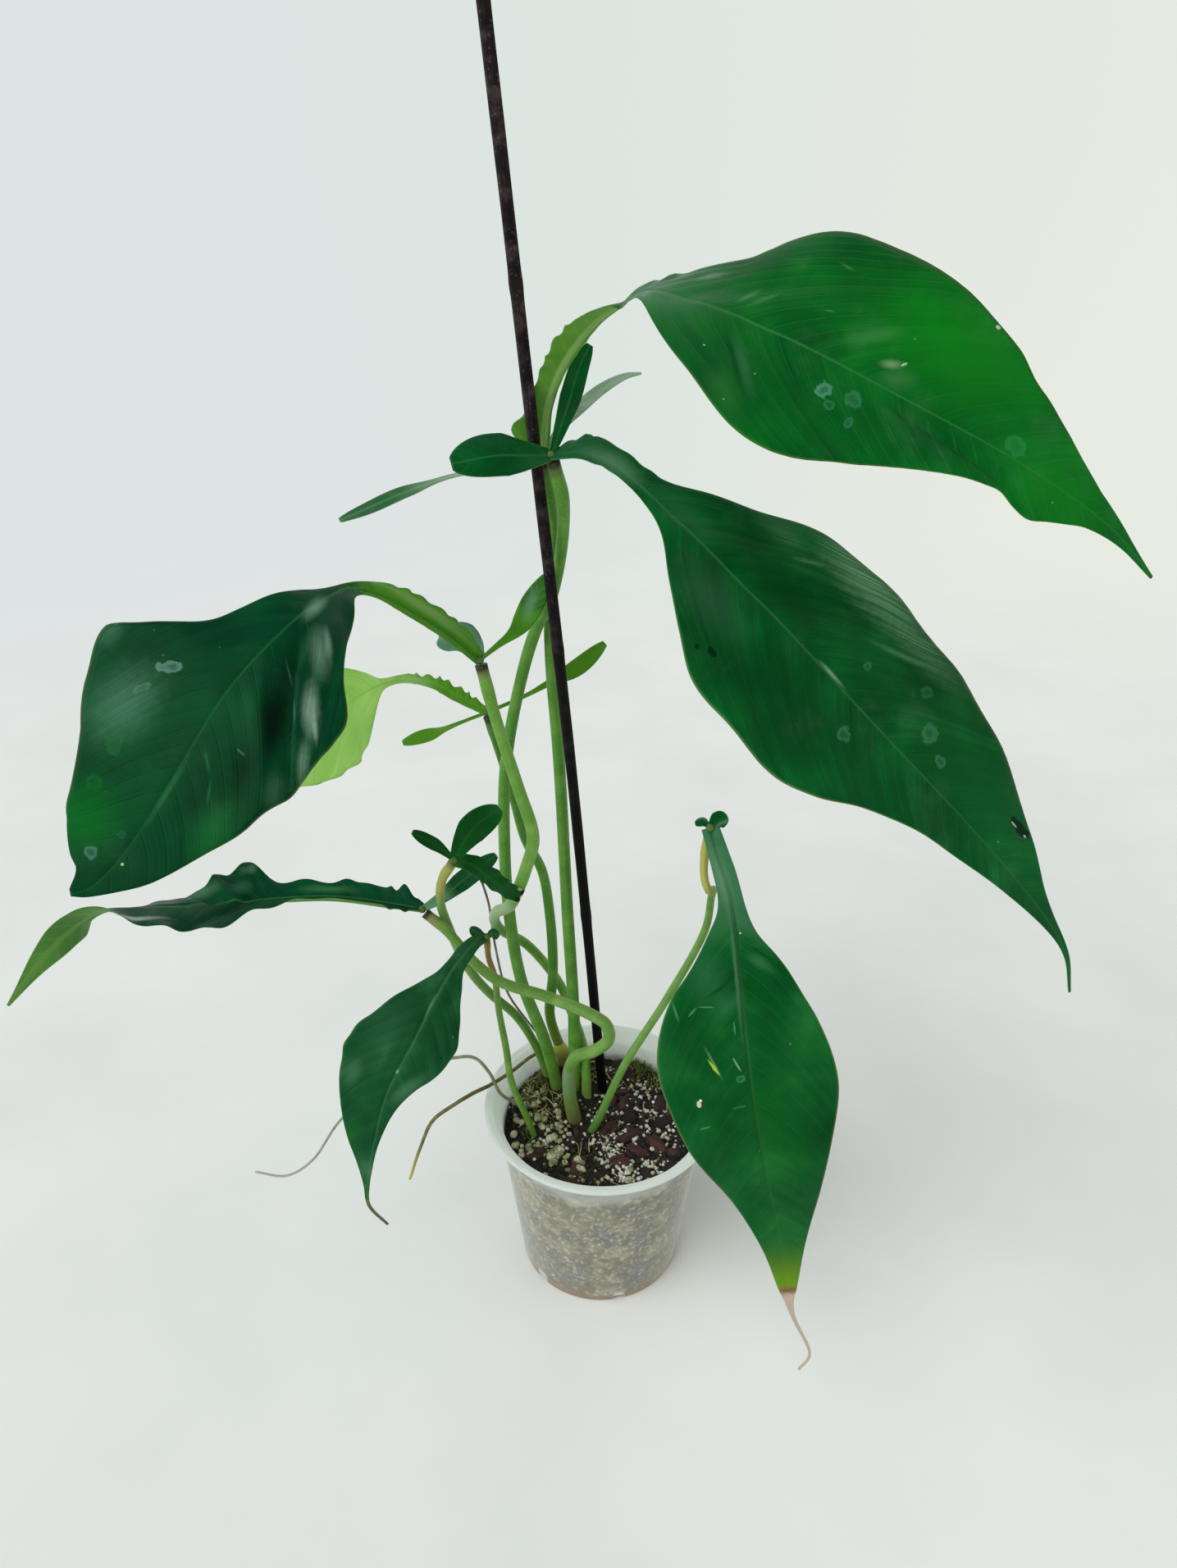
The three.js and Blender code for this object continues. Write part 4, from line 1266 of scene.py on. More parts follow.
@dataclass
class PottingMix:
    """The mix that fills the pot, with its grains, bark, moss and crumbs lying on top."""

    pot: Pot
    stems: Table
    level: float = 84.0
    mound: float = 6.0
    mound_at: Pair = (-20.0, 26.0)
    mound_reach: float = 26.0
    bump: float = 1.1
    bump_length: Pair = (5.3, 4.7)
    wall_gap: float = 0.7
    grain_gap: float = 0.8
    rings: int = 80
    sectors: int = 220
    crumble: float = 1.3
    # Grains lie tilted by up to this much, in radians, and stand off a smooth shape by this share
    tilt: float = 0.5
    lump: float = 0.22
    # Height, half width and lean of the moss tips, and their rings by share of height and width
    tip_height: Pair = (1.0, 3.2)
    tip_half: Pair = (0.22, 0.42)
    tip_lean: float = 0.45
    tip_rings: Table = ((0.0, 0.7), (0.45, 1.0), (0.8, 0.6))
    # Length, half width, rise and bend of the strands
    strand_length: Pair = (4, 12)
    strand_half: Pair = (0.18, 0.4)
    strand_rise: Pair = (0.3, 2.0)
    strand_bend: float = 1.1
    seed: int = 11

    def height(self, x: float, y: float) -> float:
        """Gives the height of the mix's top.

        Args:
            x: Place across, in mm.
            y: Place in depth, in mm.

        Returns:
            The height, in mm.
        """
        away = math.hypot(x - self.mound_at[0], y - self.mound_at[1])
        swell = self.mound * math.exp(-((away / self.mound_reach) ** 2))
        wide, deep = self.bump_length
        return self.level + swell + self.bump * math.sin(x / wide + 1) * math.cos(y / deep)

    def ground(self) -> None:
        """Builds the body of the mix with its crumbled top."""
        edge = self.pot.inside(self.level) - self.wall_gap
        bottom = self.pot.floor + self.wall_gap
        angle = circle(self.sectors)
        points = []
        for radius in np.linspace(0, edge, self.rings + 1)[1:]:
            for a in angle:
                x, y = radius * math.cos(a), radius * math.sin(a)
                rough = noise.fractal(Vector((x, y, 0)) / 3.4, 0.9, 2.1, 4)
                clod = noise.noise(Vector((x + 40, y, 9)) / 7.0)
                z = self.height(x, y) + self.crumble * (0.75 * rough + 0.8 * clod)
                points.append((x, y, z - (radius / edge) ** 8))
        for z in (self.level * 0.6, bottom):
            radius = self.pot.inside(z) - self.wall_gap
            points += [(radius * math.cos(a), radius * math.sin(a), z) for a in angle]
        points += [(0.0, 0.0, self.height(0, 0)), (0.0, 0.0, bottom)]
        faces = [group[:, ::-1] for group in tube_faces(self.rings + 2, self.sectors)]
        draft = Draft()
        draft.add(points, faces, place=points, edge=(0.5, 0, 0))
        settle(draft.piece("mix_body", [SOIL.build()]), "potting_mix", "potting_mix")

    def clear(self, x: float, y: float, margin: float) -> bool:
        """Tells whether a spot lies inside the pot and off every stem.

        Args:
            x: Place across, in mm.
            y: Place in depth, in mm.
            margin: Room needed round it, in mm.

        Returns:
            True where a grain can lie.
        """
        if math.hypot(x, y) > self.pot.inside(self.level) - self.grain_gap - margin:
            return False
        return all(math.hypot(x - sx, y - sy) > r + margin for sx, sy, r in self.stems)

    def strew(self, grain: Grain) -> None:
        """Strews grains of one kind over the mix.

        Args:
            grain: Their kind.
        """
        random = np.random.default_rng(self.seed + len(grain.name))
        out, faces = ball(grain.splits)
        boxy = np.sign(out) * np.abs(out) ** grain.square
        draft = Draft()
        for *centre, spread, count in grain.patches:
            placed = 0
            for _ in range(count * 4):
                x, y = random.normal(0, spread, 2) + centre
                half = random.uniform(*grain.sizes) * (1 if random.random() < 0.7 else 0.7)
                size = np.asarray(grain.shape) * half * random.uniform(0.8, 1.2, 3)
                if not self.clear(x, y, float(max(size[:2]))):
                    continue
                shift = random.uniform(0, 50, 3)
                lumpy = [1 + self.lump * noise.noise(Vector(p) * 1.7 + Vector(shift)) for p in out.tolist()]
                local = boxy * size * np.asarray(lumpy)[:, None]
                turn = Euler((*random.uniform(-self.tilt, self.tilt, 2), random.uniform(0, math.pi)))
                low = self.height(x, y) + size[2] * (1 - 2 * grain.sunk)
                points = local @ np.asarray(turn.to_matrix()).T + (x, y, low)
                draft.add(points, (faces,), place=local + shift, edge=(random.random(), 0, 0))
                placed += 1
                if placed == count:
                    break
        settle(draft.piece(grain.name, [grain.finish.build()]), "potting_mix")

    def moss(self, patches: Table) -> None:
        """Grows cushions of moss as short upright leafy tips.

        Args:
            patches: Where they grow.
        """
        random = np.random.default_rng(self.seed)
        draft = Draft()
        turn = circle(4)
        disc = np.stack([np.cos(turn), np.sin(turn), turn * 0], -1)
        corner = np.arange(4) + 8
        faces = grid_faces(2, 4, wrap=True), np.stack([corner, np.roll(corner, -1), corner * 0 + 12], -1)
        for *centre, spread, count in patches:
            for _ in range(count):
                x, y = random.normal(0, spread, 2) + centre
                if not self.clear(x, y, self.grain_gap):
                    continue
                tall, wide = random.uniform(*self.tip_height), random.uniform(*self.tip_half)
                lean = random.normal(0, self.tip_lean, 2) * tall
                base = np.asarray([x, y, self.height(x, y) + 0.1])
                rings = [base + disc * wide * w + (*(lean * h * h), tall * h) for h, w in self.tip_rings]
                points = np.vstack([*rings, base + (*lean, tall)])
                shift = random.uniform(0, 50, 3)
                draft.add(points, faces, place=points * 0.5 + shift, edge=(random.random(), 0, 0))
        settle(draft.piece("mix_moss", [MOSS.build()]), "potting_mix")

    def strands(self, patches: Table) -> None:
        """Lays dry strands of sphagnum that curl over the mix.

        Args:
            patches: Where they lie.
        """
        random = np.random.default_rng(self.seed + 5)
        draft = Draft()
        turn = circle(5)[:, None]
        share = np.linspace(0, 1, 9)
        faces = tube_faces(len(share), len(turn))
        for *centre, spread, count in patches:
            for _ in range(count):
                x, y = random.normal(0, spread, 2) + centre
                length, thick = random.uniform(*self.strand_length), random.uniform(*self.strand_half)
                head, bend = random.uniform(0, 2 * math.pi), random.normal(0, self.strand_bend)
                angle = head + bend * share
                step = length / (len(share) - 1)
                px, py = x + np.cumsum(np.cos(angle)) * step, y + np.cumsum(np.sin(angle)) * step
                if not all(self.clear(a, b, self.grain_gap) for a, b in zip(px, py)):
                    continue
                arch = random.uniform(*self.strand_rise) * np.sin(np.pi * share)
                pz = [self.height(a, b) + 0.5 + c for a, b, c in zip(px, py, arch)]
                middle = np.stack([px, py, pz], -1)
                side = np.stack([-np.sin(angle), np.cos(angle), angle * 0], -1)
                ring = side[:, None] * np.cos(turn) + np.asarray([0, 0, 1.0]) * np.sin(turn)
                ring = middle[:, None] + ring * (thick * (1 - 0.5 * share))[:, None, None]
                points = np.vstack([ring.reshape(-1, 3), middle[:1], middle[-1:]])
                draft.add(points, faces, place=points * 0.7, edge=(random.random(), 0, 0))
        settle(draft.piece("mix_sphagnum", [STRAW.build()]), "potting_mix")


# Finishes of this plant

KNOB = StemFinish(
    "leaf_knob", "#3a4a22", "#5a7536", "#7a9650", "#4d6a2c", "#4d6a2c", start_share=0, end_share=2, blotch=2,
)
STALK_GREEN = StemFinish(
    "leaf_stalk", "#478420", "#558f2c", "#6f9e40", "#55702c", "#6d7a3c", end_share=0.9, ring_show=0.85,
)
STALK_PALE = StemFinish(
    "pale_stalk", "#5a9430", "#6a9e3a", "#82ac54", "#6a8040", "#6d7a3c", end_share=0.9, ring_show=0.9,
    zones=((0.4, 0.54, "#9cba8a"),),
)
# The back stalk's darker greens are painted shade, as it stands behind the others
STALK_SHADED = StemFinish(
    "shaded_stalk", "#3f7a1c", "#4a8522", "#639438", "#55702c", "#7d8a3c", start_share=0.03, end_share=0.86,
    ring_show=0.8,
)
STALK_PINK = StemFinish(
    "flushed_stalk", "#5a8a32", "#6a9640", "#82a858", "#7f844a", "#7a5244", start_share=0.05, end_share=0.82,
    ring_show=0.95, zones=((0.7, 0.84, "#7a9668"),),
)
STALK_BROWNED = StemFinish(
    "browned_stalk", "#55862c", "#5f8f30", "#76a044", "#8f7634", "#5d7434", start_share=0.26, end_share=0.9,
    ring_show=0.5,
)
STALK_HOOKED = StemFinish(
    "hooked_stalk", "#568a30", "#62903a", "#749c4a", "#a0a04a", "#4f7a26", start_share=0.15, end_share=0.9,
    ring_show=0.4,
)
CROWN_SKIN = StemFinish(
    "crown_skin", "#2f1712", "#4f2a20", "#6f4a34", "#3a2a1c", "#b4bc50", end_share=0.64, fibre=1.2,
    relief=0.3,
)
ROOT_SKIN = StemFinish(
    "aerial_root", "#4f4a2a", "#6f6a40", "#948c58", "#4a3a24", "#c0ae3e", end_share=0.8, roughness=0.62,
    specular=0.25, pore="#b3a77a", fibre=0.5, run=5, blotch=5, relief=0.15,
)
ROOT_GREY = StemFinish(
    "grey_root", "#5c6244", "#7b8060", "#9a9d80", "#6a5c3c", "#b2b2ab", end_share=0.55, roughness=0.62,
    specular=0.25, pore="#b3a77a", fibre=0.5, run=5, blotch=6, relief=0.15,
)
THREAD_SKIN = StemFinish(
    "root_thread", "#6a5a50", "#8a766c", "#ab9a90", "#6b5a50", "#6b4f44", roughness=0.66, specular=0.25,
    pore="#a8978a", fibre=0.4, run=4, blotch=6, relief=0.1,
)
STAKE_WOOD = StemFinish(
    "stained_stick", "#0a0709", "#1e1618", "#473b3b", "#4b423c", "#0c0c0e", start_share=0.004, end_share=0.15,
    zones=((0.4, 1.4, "#040405"),), roughness=0.6, specular=0.12, pore="#7c7d7b", pore_show=0.2, fibre=0.5,
    run=9, blotch=6, relief=0.2,
)
SOIL = GrainFinish("peat_and_bark_fines", "#080605", "#15100c", "#2c241a", 3, relief=0.5)
CRUMB = GrainFinish("peat_crumb", "#0a0806", "#1c150f", "#4a3e2c", 1.6, relief=0.3)
BARK = GrainFinish("conifer_bark", "#100809", "#2a1616", "#4f2e28", 3.2, relief=0.5, stretch=(0.35, 1.6, 1.6))
PERLITE = GrainFinish("perlite", "#a39c8c", "#cfcbbc", "#eeebe0", 1.1, relief=0.25, roughness=0.8)
PUMICE = GrainFinish("pumice_grit", "#6f7048", "#a3a680", "#cfd0b0", 1.6, relief=0.25)
MOSS = GrainFinish("cushion_moss", "#27340f", "#4c5c20", "#8a9648", 1.2, relief=0.1, roughness=0.7)
STRAW = GrainFinish("sphagnum_strand", "#7a6a34", "#a89a5a", "#d0c88c", 1, relief=0.1, roughness=0.8)

# Marks are rows of kind, mm along and across, reach, colour, strength, stretch and slant
UPPER_RIGHT_LEAF = LeafFinish(
    "bright_leaf", "#003f16", "#02581c", "#0f7420", "#2f7a40", "#3f8a26", (0.2, 0.3), 1, rim="#9db04a",
    band_show=0.26, vein_show=0.17, film_show=0.14, rim_show=0.14, midrib_show=(0.75, 0.45),
    under_deep="#3f7f0c", under_light="#5f9a28", keel="#86ac5c",
    # Painted light among these marks: sheen at 100 and 115.7 mm along, pale sheen streaks at 137, 142.5, 180
    # and 189 mm, a pale band of painted light beside a fold at 149.5 mm, shade along folds at 147 and 200 mm,
    # and glints at 192.5 and 213.6 mm
    marks=((SHADE, 112, -4, 30, "#2c6f3c", 0.5, 1.2), (GLOW, 100, 10, 14, "#3f7a4c", 0.4, 2),
        (SHADE, 205, -26, 38, "#0c8210", 0.6, 1.6), (SHADE, 256, 2, 20, "#0a8210", 0.5, 1.6),
        (SHADE, 150, 24, 22, "#00501c", 0.4, 1.4), (SHADE, 147, 17.9, 1.6, "#00360f", 0.7, 11, 49),
        (SHADE, 149.5, 17, 3.2, "#357048", 0.5, 5.6, 49), (SHADE, 150, 30, 8, "#2a7430", 0.55, 1.8, 49),
        (SHADE, 137, -10, 1.8, "#4f8a5c", 0.55, 3.8, -68),
        (SHADE, 142.5, -11, 1.6, "#478456", 0.55, 5.4, -55),
        (GLOW, 115.7, -14.3, 3.6, "#86a586", 0.55, 2.6, -37),
        (SHADE, 180, -15.5, 3.6, "#3a7c40", 0.65, 3.8, -42), (SHADE, 193, -5, 5.5, "#3a7844", 0.6, 1.6, -30),
        (SHADE, 189, -8.6, 2.4, "#8fb086", 0.5, 2.2, -29), (SHADE, 200, 6.2, 1.5, "#004a12", 0.6, 6.4, 28),
        (SHADE, 159.8, -35.4, 0.9, "#5f9450", 0.4, 4.6, 8),
        (SCAR, 163, -16.2, 0.4, "#3f8f54", 0.45, 5.4, -20), (SCAR, 136.2, 17.2, 0.5, "#9fcf98", 0.7),
        (SCAR, 154.1, 17.9, 0.5, "#6fab7c", 0.55), (SCAR, 150.5, 32.1, 0.45, "#8fc080", 0.7),
        (DROP, 178.5, 14.8, 1.8, "#3f8a5c", 0.4), (DROP, 174.8, 11.2, 3.4, "#5f9f84", 0.55, 0.8),
        (DROP, 184.5, 9.2, 3.4, "#4f9474", 0.3, 0.9), (DROP, 186.5, 17, 2.4, "#4f8f74", 0.35, 0.5),
        (SCAR, 192.5, -10.6, 0.4, "#cfe2c4", 0.6, 2.8, -50), (DROP, 235.6, -4.1, 3.8, "#3f8f5c", 0.3),
        (SCAR, 213.6, -39.5, 0.8, "#e2e8d0", 0.7, 1.2)),
)
MIDDLE_RIGHT_LEAF = LeafFinish(
    "deep_leaf", "#003817", "#024c1e", "#0c6a2e", "#2c6b3c", "#1f5a34", (0, 0.12), 2, band_show=0.26,
    film_show=0.18, trace_low=0.12, midrib_show=(0.7, 0.5),
    # Painted light among these marks: sheen along the margin at 92, 128 and 162 mm along, pale sheen streaks
    # at 107 and 157 mm, sheen on the neck at 27 and 60 mm, a highlight on the midrib at 142 mm, and glints at
    # 235.5 and 242 mm
    marks=((GLOW, 92, -30, 8, "#5f8f6c", 0.35, 2.6), (GLOW, 128, -41, 15, "#7fb08a", 0.9, 2.4),
        (GLOW, 162, -40, 12, "#6fa47c", 0.65, 2.6), (SHADE, 107, -29, 1.6, "#5a8a62", 0.5, 7, -37),
        (SHADE, 157, -29.5, 2, "#558a5e", 0.5, 11, -25), (DROP, 174.7, -26.4, 3, "#3f7f5c", 0.35),
        (DROP, 150.3, -15, 2, "#4f8f68", 0.35), (SHADE, 90, 15, 16, "#36604a", 0.4, 1.8),
        (SHADE, 27, -1, 7, "#5f8a68", 0.55, 3), (SHADE, 60, -5, 9, "#2f6844", 0.35, 2.6),
        (SHADE, 142, -1.1, 1.2, "#9abfa4", 0.55, 7.5), (SHADE, 130, 20, 24, "#002c12", 0.4, 1.6),
        (SHADE, 105, -12, 12, "#00300f", 0.5, 2.4), (SHADE, 220, -12, 22, "#02602a", 0.5, 1.5),
        (DROP, 186.3, -14.9, 4.2, "#4f8f6c", 0.38, 0.9), (DROP, 196.1, -10, 2.8, "#4f8f6c", 0.4),
        (DROP, 160.7, 12.8, 3.4, "#4f8a6c", 0.4), (SCAR, 105, 29.6, 1.7, "#00200c", 0.9, 1.4),
        (SCAR, 100, 32.8, 1.1, "#00200c", 0.9), (SCAR, 238.3, -16.4, 2.6, "#02140a", 0.95, 2.4),
        (SCAR, 235.5, -15.4, 0.5, "#a9c4b0", 0.8, 3.5), (SCAR, 242, -15.6, 0.6, "#b3ccb8", 0.8, 1.6)),
)
LEFT_LEAF = LeafFinish(
    "bluish_leaf", "#002a12", "#033a20", "#064d2a", "#1d6a34", "#508e28", (0.26, 0.36), 3, roughness=0.33,
    vein_show=0.04, film_show=0.08, rim_show=0.18, speck_show=0.15, band_show=0.22, trace_low=0.6,
    # Painted light among these marks: a broad sheen at 160 and 162 mm along, gloss and pale highlights beside
    # the furrow from 105 to 161 mm, a highlight by the midrib at 94 mm, and painted shadow in the furrow from
    # 138 to 176 mm
    marks=((SHADE, 162, 26, 22, "#1f5f3c", 0.5), (GLOW, 160, 28, 16, "#6f9f86", 0.34, 1.3),
        (SHADE, 142, 46, 6, "#4f7f68", 0.35, 1.2), (SHADE, 200, 18, 20, "#007018", 0.6, 1.1),
        (SHADE, 184, -22, 10, "#1f7a30", 0.35, 1.8), (SHADE, 138, -17, 8, "#00140a", 0.85, 2.6, -26),
        (SHADE, 141, -19.5, 4.5, "#00060a", 0.95, 4.2, -26), (SHADE, 159, -19, 10, "#000c04", 0.85, 1.7, -12),
        (SHADE, 176, -10, 10, "#001606", 0.6, 1.5, 20), (GLOW, 129, -27.5, 4.6, "#98b8a2", 0.6, 3.4, -38),
        (SHADE, 134, -33, 1.3, "#a9c4b0", 0.45, 6.5, -36), (GLOW, 147, -35.5, 3.6, "#7f9f88", 0.5, 3, -22),
        (GLOW, 109, -16, 5, "#7fa28a", 0.45, 3.2, -46), (SHADE, 105, -16, 1.8, "#8fb09a", 0.4, 6, -46),
        (SHADE, 94, -1, 4, "#7fa68c", 0.6, 2.6, -12), (GLOW, 161, -31.5, 5, "#4f7f60", 0.45, 2, -20),
        (SHADE, 120.6, -11.2, 0.6, "#4f8a68", 0.5, 11, -51),
        (SHADE, 131, -21.2, 0.6, "#4f8a68", 0.55, 12, -37),
        (SHADE, 162.7, -6.9, 0.7, "#2a7450", 0.5, 8.5, -44),
        (SHADE, 171.7, -13.1, 0.7, "#2a7450", 0.5, 8, -24), (SHADE, 178, -0.9, 1.4, "#3f7a50", 0.35, 12),
        (SCAR, 154.8, -15.5, 0.4, "#3f7a68", 0.5, 5, -78), (DROP, 172.8, 23, 4.2, "#1f6a34", 0.4),
        (DROP, 197.6, 4.5, 1.6, "#2f6f66", 0.35), (SHADE, 36, 3.4, 3, "#86ac5e", 0.9, 12),
        (DROP, 142, 21.5, 2.1, "#6f9f94", 0.55, 2.3, 60), (DROP, 152.1, 25.4, 1.5, "#5f9084", 0.35, 2.4, 34),
        (DROP, 209.3, 8.6, 2.6, "#5f9084", 0.45), (DROP, 187, 22, 3.2, "#0f7f24", 0.25),
        (SCAR, 205.5, -1.8, 0.5, "#c9d47a", 0.8)),
)
BACK_LEAF = LeafFinish(
    "light_leaf", "#7fb544", "#95c65c", "#aed476", "#7fae4c", "#5a9628", (0.22, 0.4), 4, backlight=0.3,
    backlight_tint="#b4d85a", rim="#b5d07a", vein_show=0.45, under_deep="#7fae4c", under_light="#9cc46c",
    film_show=0, marks=((SHADE, 42, -2, 9, "#98bf72", 0.8, 2.2),),
)
LONG_LEFT_LEAF = LeafFinish(
    "long_leaf", "#022818", "#064026", "#105234", "#3a7a3c", "#0f4020", (0, 0.05), 5, specular=0.14,
    under_deep="#2f6e12", under_light="#4f8c28", keel="#5f8f38",
    # Painted light among these marks: sheen at 116 mm along and a highlight along the margin at 140 mm
    marks=((SHADE, 100, 10, 6, "#5f8a68", 0.55, 1.8), (SHADE, 84, 8, 6, "#3f7050", 0.45, 1.4),
        (SHADE, 80, 18, 4, "#5f8068", 0.45, 1.4), (SHADE, 92, -6, 7, "#002012", 0.7, 1.6),
        (GLOW, 116, -4, 7, "#2f6a44", 0.4, 2.6), (SHADE, 140, -10.5, 2.6, "#c4d6cc", 0.8, 10),
        (SHADE, 46, 4, 3, "#3f7f48", 0.7, 6)),
)
FRONT_LEFT_LEAF = LeafFinish(
    "small_leaf", "#0a3820", "#144a28", "#2c6440", "#477854", "#2a6034", (0.03, 0.12), 6, dry_from=0.91,
    dry="#5f5a4a", patch=26, band_show=0.2, ripe="#2f6a20", film_show=0.2, trace_low=0.8, vein_show=0.06,
    midrib_show=(0.55, 0.3),
    # Painted light among these marks: sheen at 82 and 85 mm along and a glint on the midrib at 77.2 mm
    marks=((SHADE, 66, 12, 15, "#2f6044", 0.4, 2), (SHADE, 82, -7.5, 4.6, "#4f7f60", 0.55, 3.4, 26),
        (SHADE, 85, 18, 5.5, "#4f7f60", 0.45, 1.4), (SHADE, 40.5, -4.9, 3, "#06381c", 0.6, 1.6),
        (SHADE, 72, 4.8, 4.5, "#04401c", 0.5, 4.5, -4), (SHADE, 45, 0.5, 0.8, "#8fb09a", 0.5, 10),
        (SHADE, 77.2, 0, 0.9, "#a9c8b0", 0.6, 1.8), (SHADE, 112, 11, 7, "#1f6a20", 0.5, 1.8),
        (SCAR, 62.7, -14.4, 0.6, "#06140a", 0.9)),
)
SMALL_LOBED_LEAF = LeafFinish(
    "torn_leaf", "#04380c", "#0c4a16", "#1f6030", "#2f5f34", "#2f6a2c", (0.03, 0.16), 7,
    midrib_show=(0.4, 0.2),
    marks=((SCAR, 41, 2.2, 1.5, "#0a0806"), (SCAR, 42.2, -1.4, 1.2, "#14100a"),
        (SCAR, 42.8, 0.4, 1.2, "#d6cca4", 0.95, 0.7), (SCAR, 40, -2.8, 0.9, "#c0b486", 0.85, 1.8)),
)
FRONT_RIGHT_LEAF = LeafFinish(
    "front_leaf", "#003c14", "#04501e", "#1a682c", "#3d7a44", "#3c6f4a", (0.1, 0.2), 8, dry_from=0.806,
    dry="#c2ad9c", patch=30, band_show=0.12, midrib_show=(0.35, 0), film_show=0.06,
    # Painted light among these marks: sheen on the neck at 20 mm along, shade in the midrib's groove at 50
    # mm, shade along creases at 52 and 66 mm, and pale painted light beside them at 56 and 72.5 mm
    marks=((SHADE, 20, 1.5, 4, "#6f9a78", 0.5, 5), (SHADE, 60, 14, 12, "#2f7044", 0.5, 1.6),
        (SHADE, 130, -6, 20, "#005c14", 0.4, 2), (SHADE, 60, 1.7, 1.3, "#5a8a68", 0.5, 30),
        (SHADE, 50, -0.2, 0.6, "#04301a", 0.7, 70), (SHADE, 66, 9.2, 1.3, "#00300f", 0.6, 7, 58),
        (SHADE, 72.5, 6.5, 6, "#3a7850", 0.4, 1.7, 50), (SHADE, 52, -8.6, 0.9, "#00300f", 0.6, 8, -51),
        (SHADE, 56, -8, 3.4, "#4a8058", 0.4, 2.6, -51), (SHADE, 97, 14.4, 0.9, "#7faa84", 0.5, 12, -20),
        (SCAR, 99, 14.4, 0.75, "#b4c840", 0.85, 6, -28), (SCAR, 98.3, 5.1, 0.45, "#8fb484", 0.65, 8.5, -22),
        (SCAR, 74.4, 20.5, 0.4, "#5f9a6c", 0.6, 7.5, 49), (SCAR, 72.8, 14.5, 0.35, "#5f9a6c", 0.55, 11, -86),
        (SCAR, 82.3, 4.4, 0.4, "#5f9a70", 0.55, 9, 2), (SHADE, 73.9, 27.2, 0.8, "#5f9a6c", 0.6, 7, -13),
        (SCAR, 43.5, -1.6, 0.5, "#b9d8c0", 0.8), (SCAR, 91, -17, 0.45, "#7fb08c", 0.7),
        (DROP, 105, 4.2, 2, "#4a8a64", 0.45), (SCAR, 118, 6.5, 0.7, "#3f7f56", 0.4, 5, -98),
        (SCAR, 126, 21.5, 0.5, "#6f9a70", 0.4, 5, -100), (SCAR, 115, 22.5, 1, "#d8cba4", 0.95, 1.8),
        (SCAR, 113.4, 21.6, 0.8, "#efe6cc", 0.9)),
)
# The pale silvery green of these lobes is painted sheen
SILVERY_LOBE = LeafFinish(
    "silvery_lobe", "#0f5a26", "#1a6430", "#2f7f40", "#5f8f6c", "#a9c2aa", (0.2, 0.5), 9, backlight=0.2,
    backlight_tint="#a9c8a4", under_deep="#6f9478", under_light="#9ab8a0", rim="#c0d2c0", film_show=0,
)
GREYISH_LOBE = LeafFinish(
    "greyish_lobe", "#3a6448", "#557f5f", "#7a9f80", "#7a9f80", "#4f7f50", (0, 0.05), 10,
    under_deep="#4f7a58", under_light="#7a9f80", film_show=0,
)
FOLDED_LOBE = LeafFinish(
    "folded_lobe", "#0a3a1c", "#14502a", "#2c6a40", "#4f7f58", "#5f8a66", (0.4, 0.6), 11, film_show=0,
)

# Shapes of this plant

STAKE = Stem(
    "wooden_stake", "stake", "stake", STAKE_WOOD,
    ((-43.5, 13, 600), (-31.5, 15.5, 471), (-13.5, 19, 275), (1, 22, 89), (5, 23, 40)),
    ((0, 2.45), (1, 2.45)), rings=300, sides=28, ribs=7, rib_depth=0.03,
    knots=((0.2, 0.22, 0.006), (0.46, 0.18, 0.005), (0.71, 0.2, 0.006)), wander=0.012,
)
CROWN = Stem(
    "crown", "crown_stem", "crown", CROWN_SKIN,
    ((-17, 30, 74), (-18, 30, 90), (-20, 31.5, 101), (-22.5, 33, 110)),
    ((0, 3.6), (0.3, 3.9), (0.42, 4.3), (0.5, 3.7), (0.66, 4.2), (0.74, 3.5), (0.9, 3.9), (1, 2.9)), rings=80,
    sides=28, rib_depth=0.03,
)
ROOTS = (
    Stem("aerial_root_long", "root_long", "root", ROOT_SKIN,
        ((-25.3, 33.2, 104), (-35, 32, 103), (-47, 20, 102), (-57, 8, 104), (-66, -2, 107), (-75, -8, 105),
            (-85, -12, 99), (-93, -13, 80), (-100, -12, 57)),
        ((0, 0.9), (0.5, 1), (1, 0.7))),
    Stem("aerial_root_back_left", "root_back_left", "root", ROOT_GREY,
        ((-39, 6, 78), (-41, 5, 91), (-46, 3, 97), (-52, 3, 102.5), (-58, 12, 108), (-66, 20, 111),
            (-78, 27, 105), (-94, 32, 95), (-118, 32, 80), (-143, 26, 61), (-157, 10, 47), (-170, 4, 42),
            (-186, 2, 47)),
        ((0, 0.9), (0.5, 0.8), (1, 0.6))),
    Stem("aerial_root_thread", "root_thread", "root_thread", THREAD_SKIN,
        ((-58, 24, 219), (-56, 31, 201), (-54, 33, 174), (-49, 35, 143), (-39, 35.5, 123), (-30, 36.5, 108),
            (-24.3, 34.8, 103)),
        ((0, 0.6), (1, 0.6))),
)
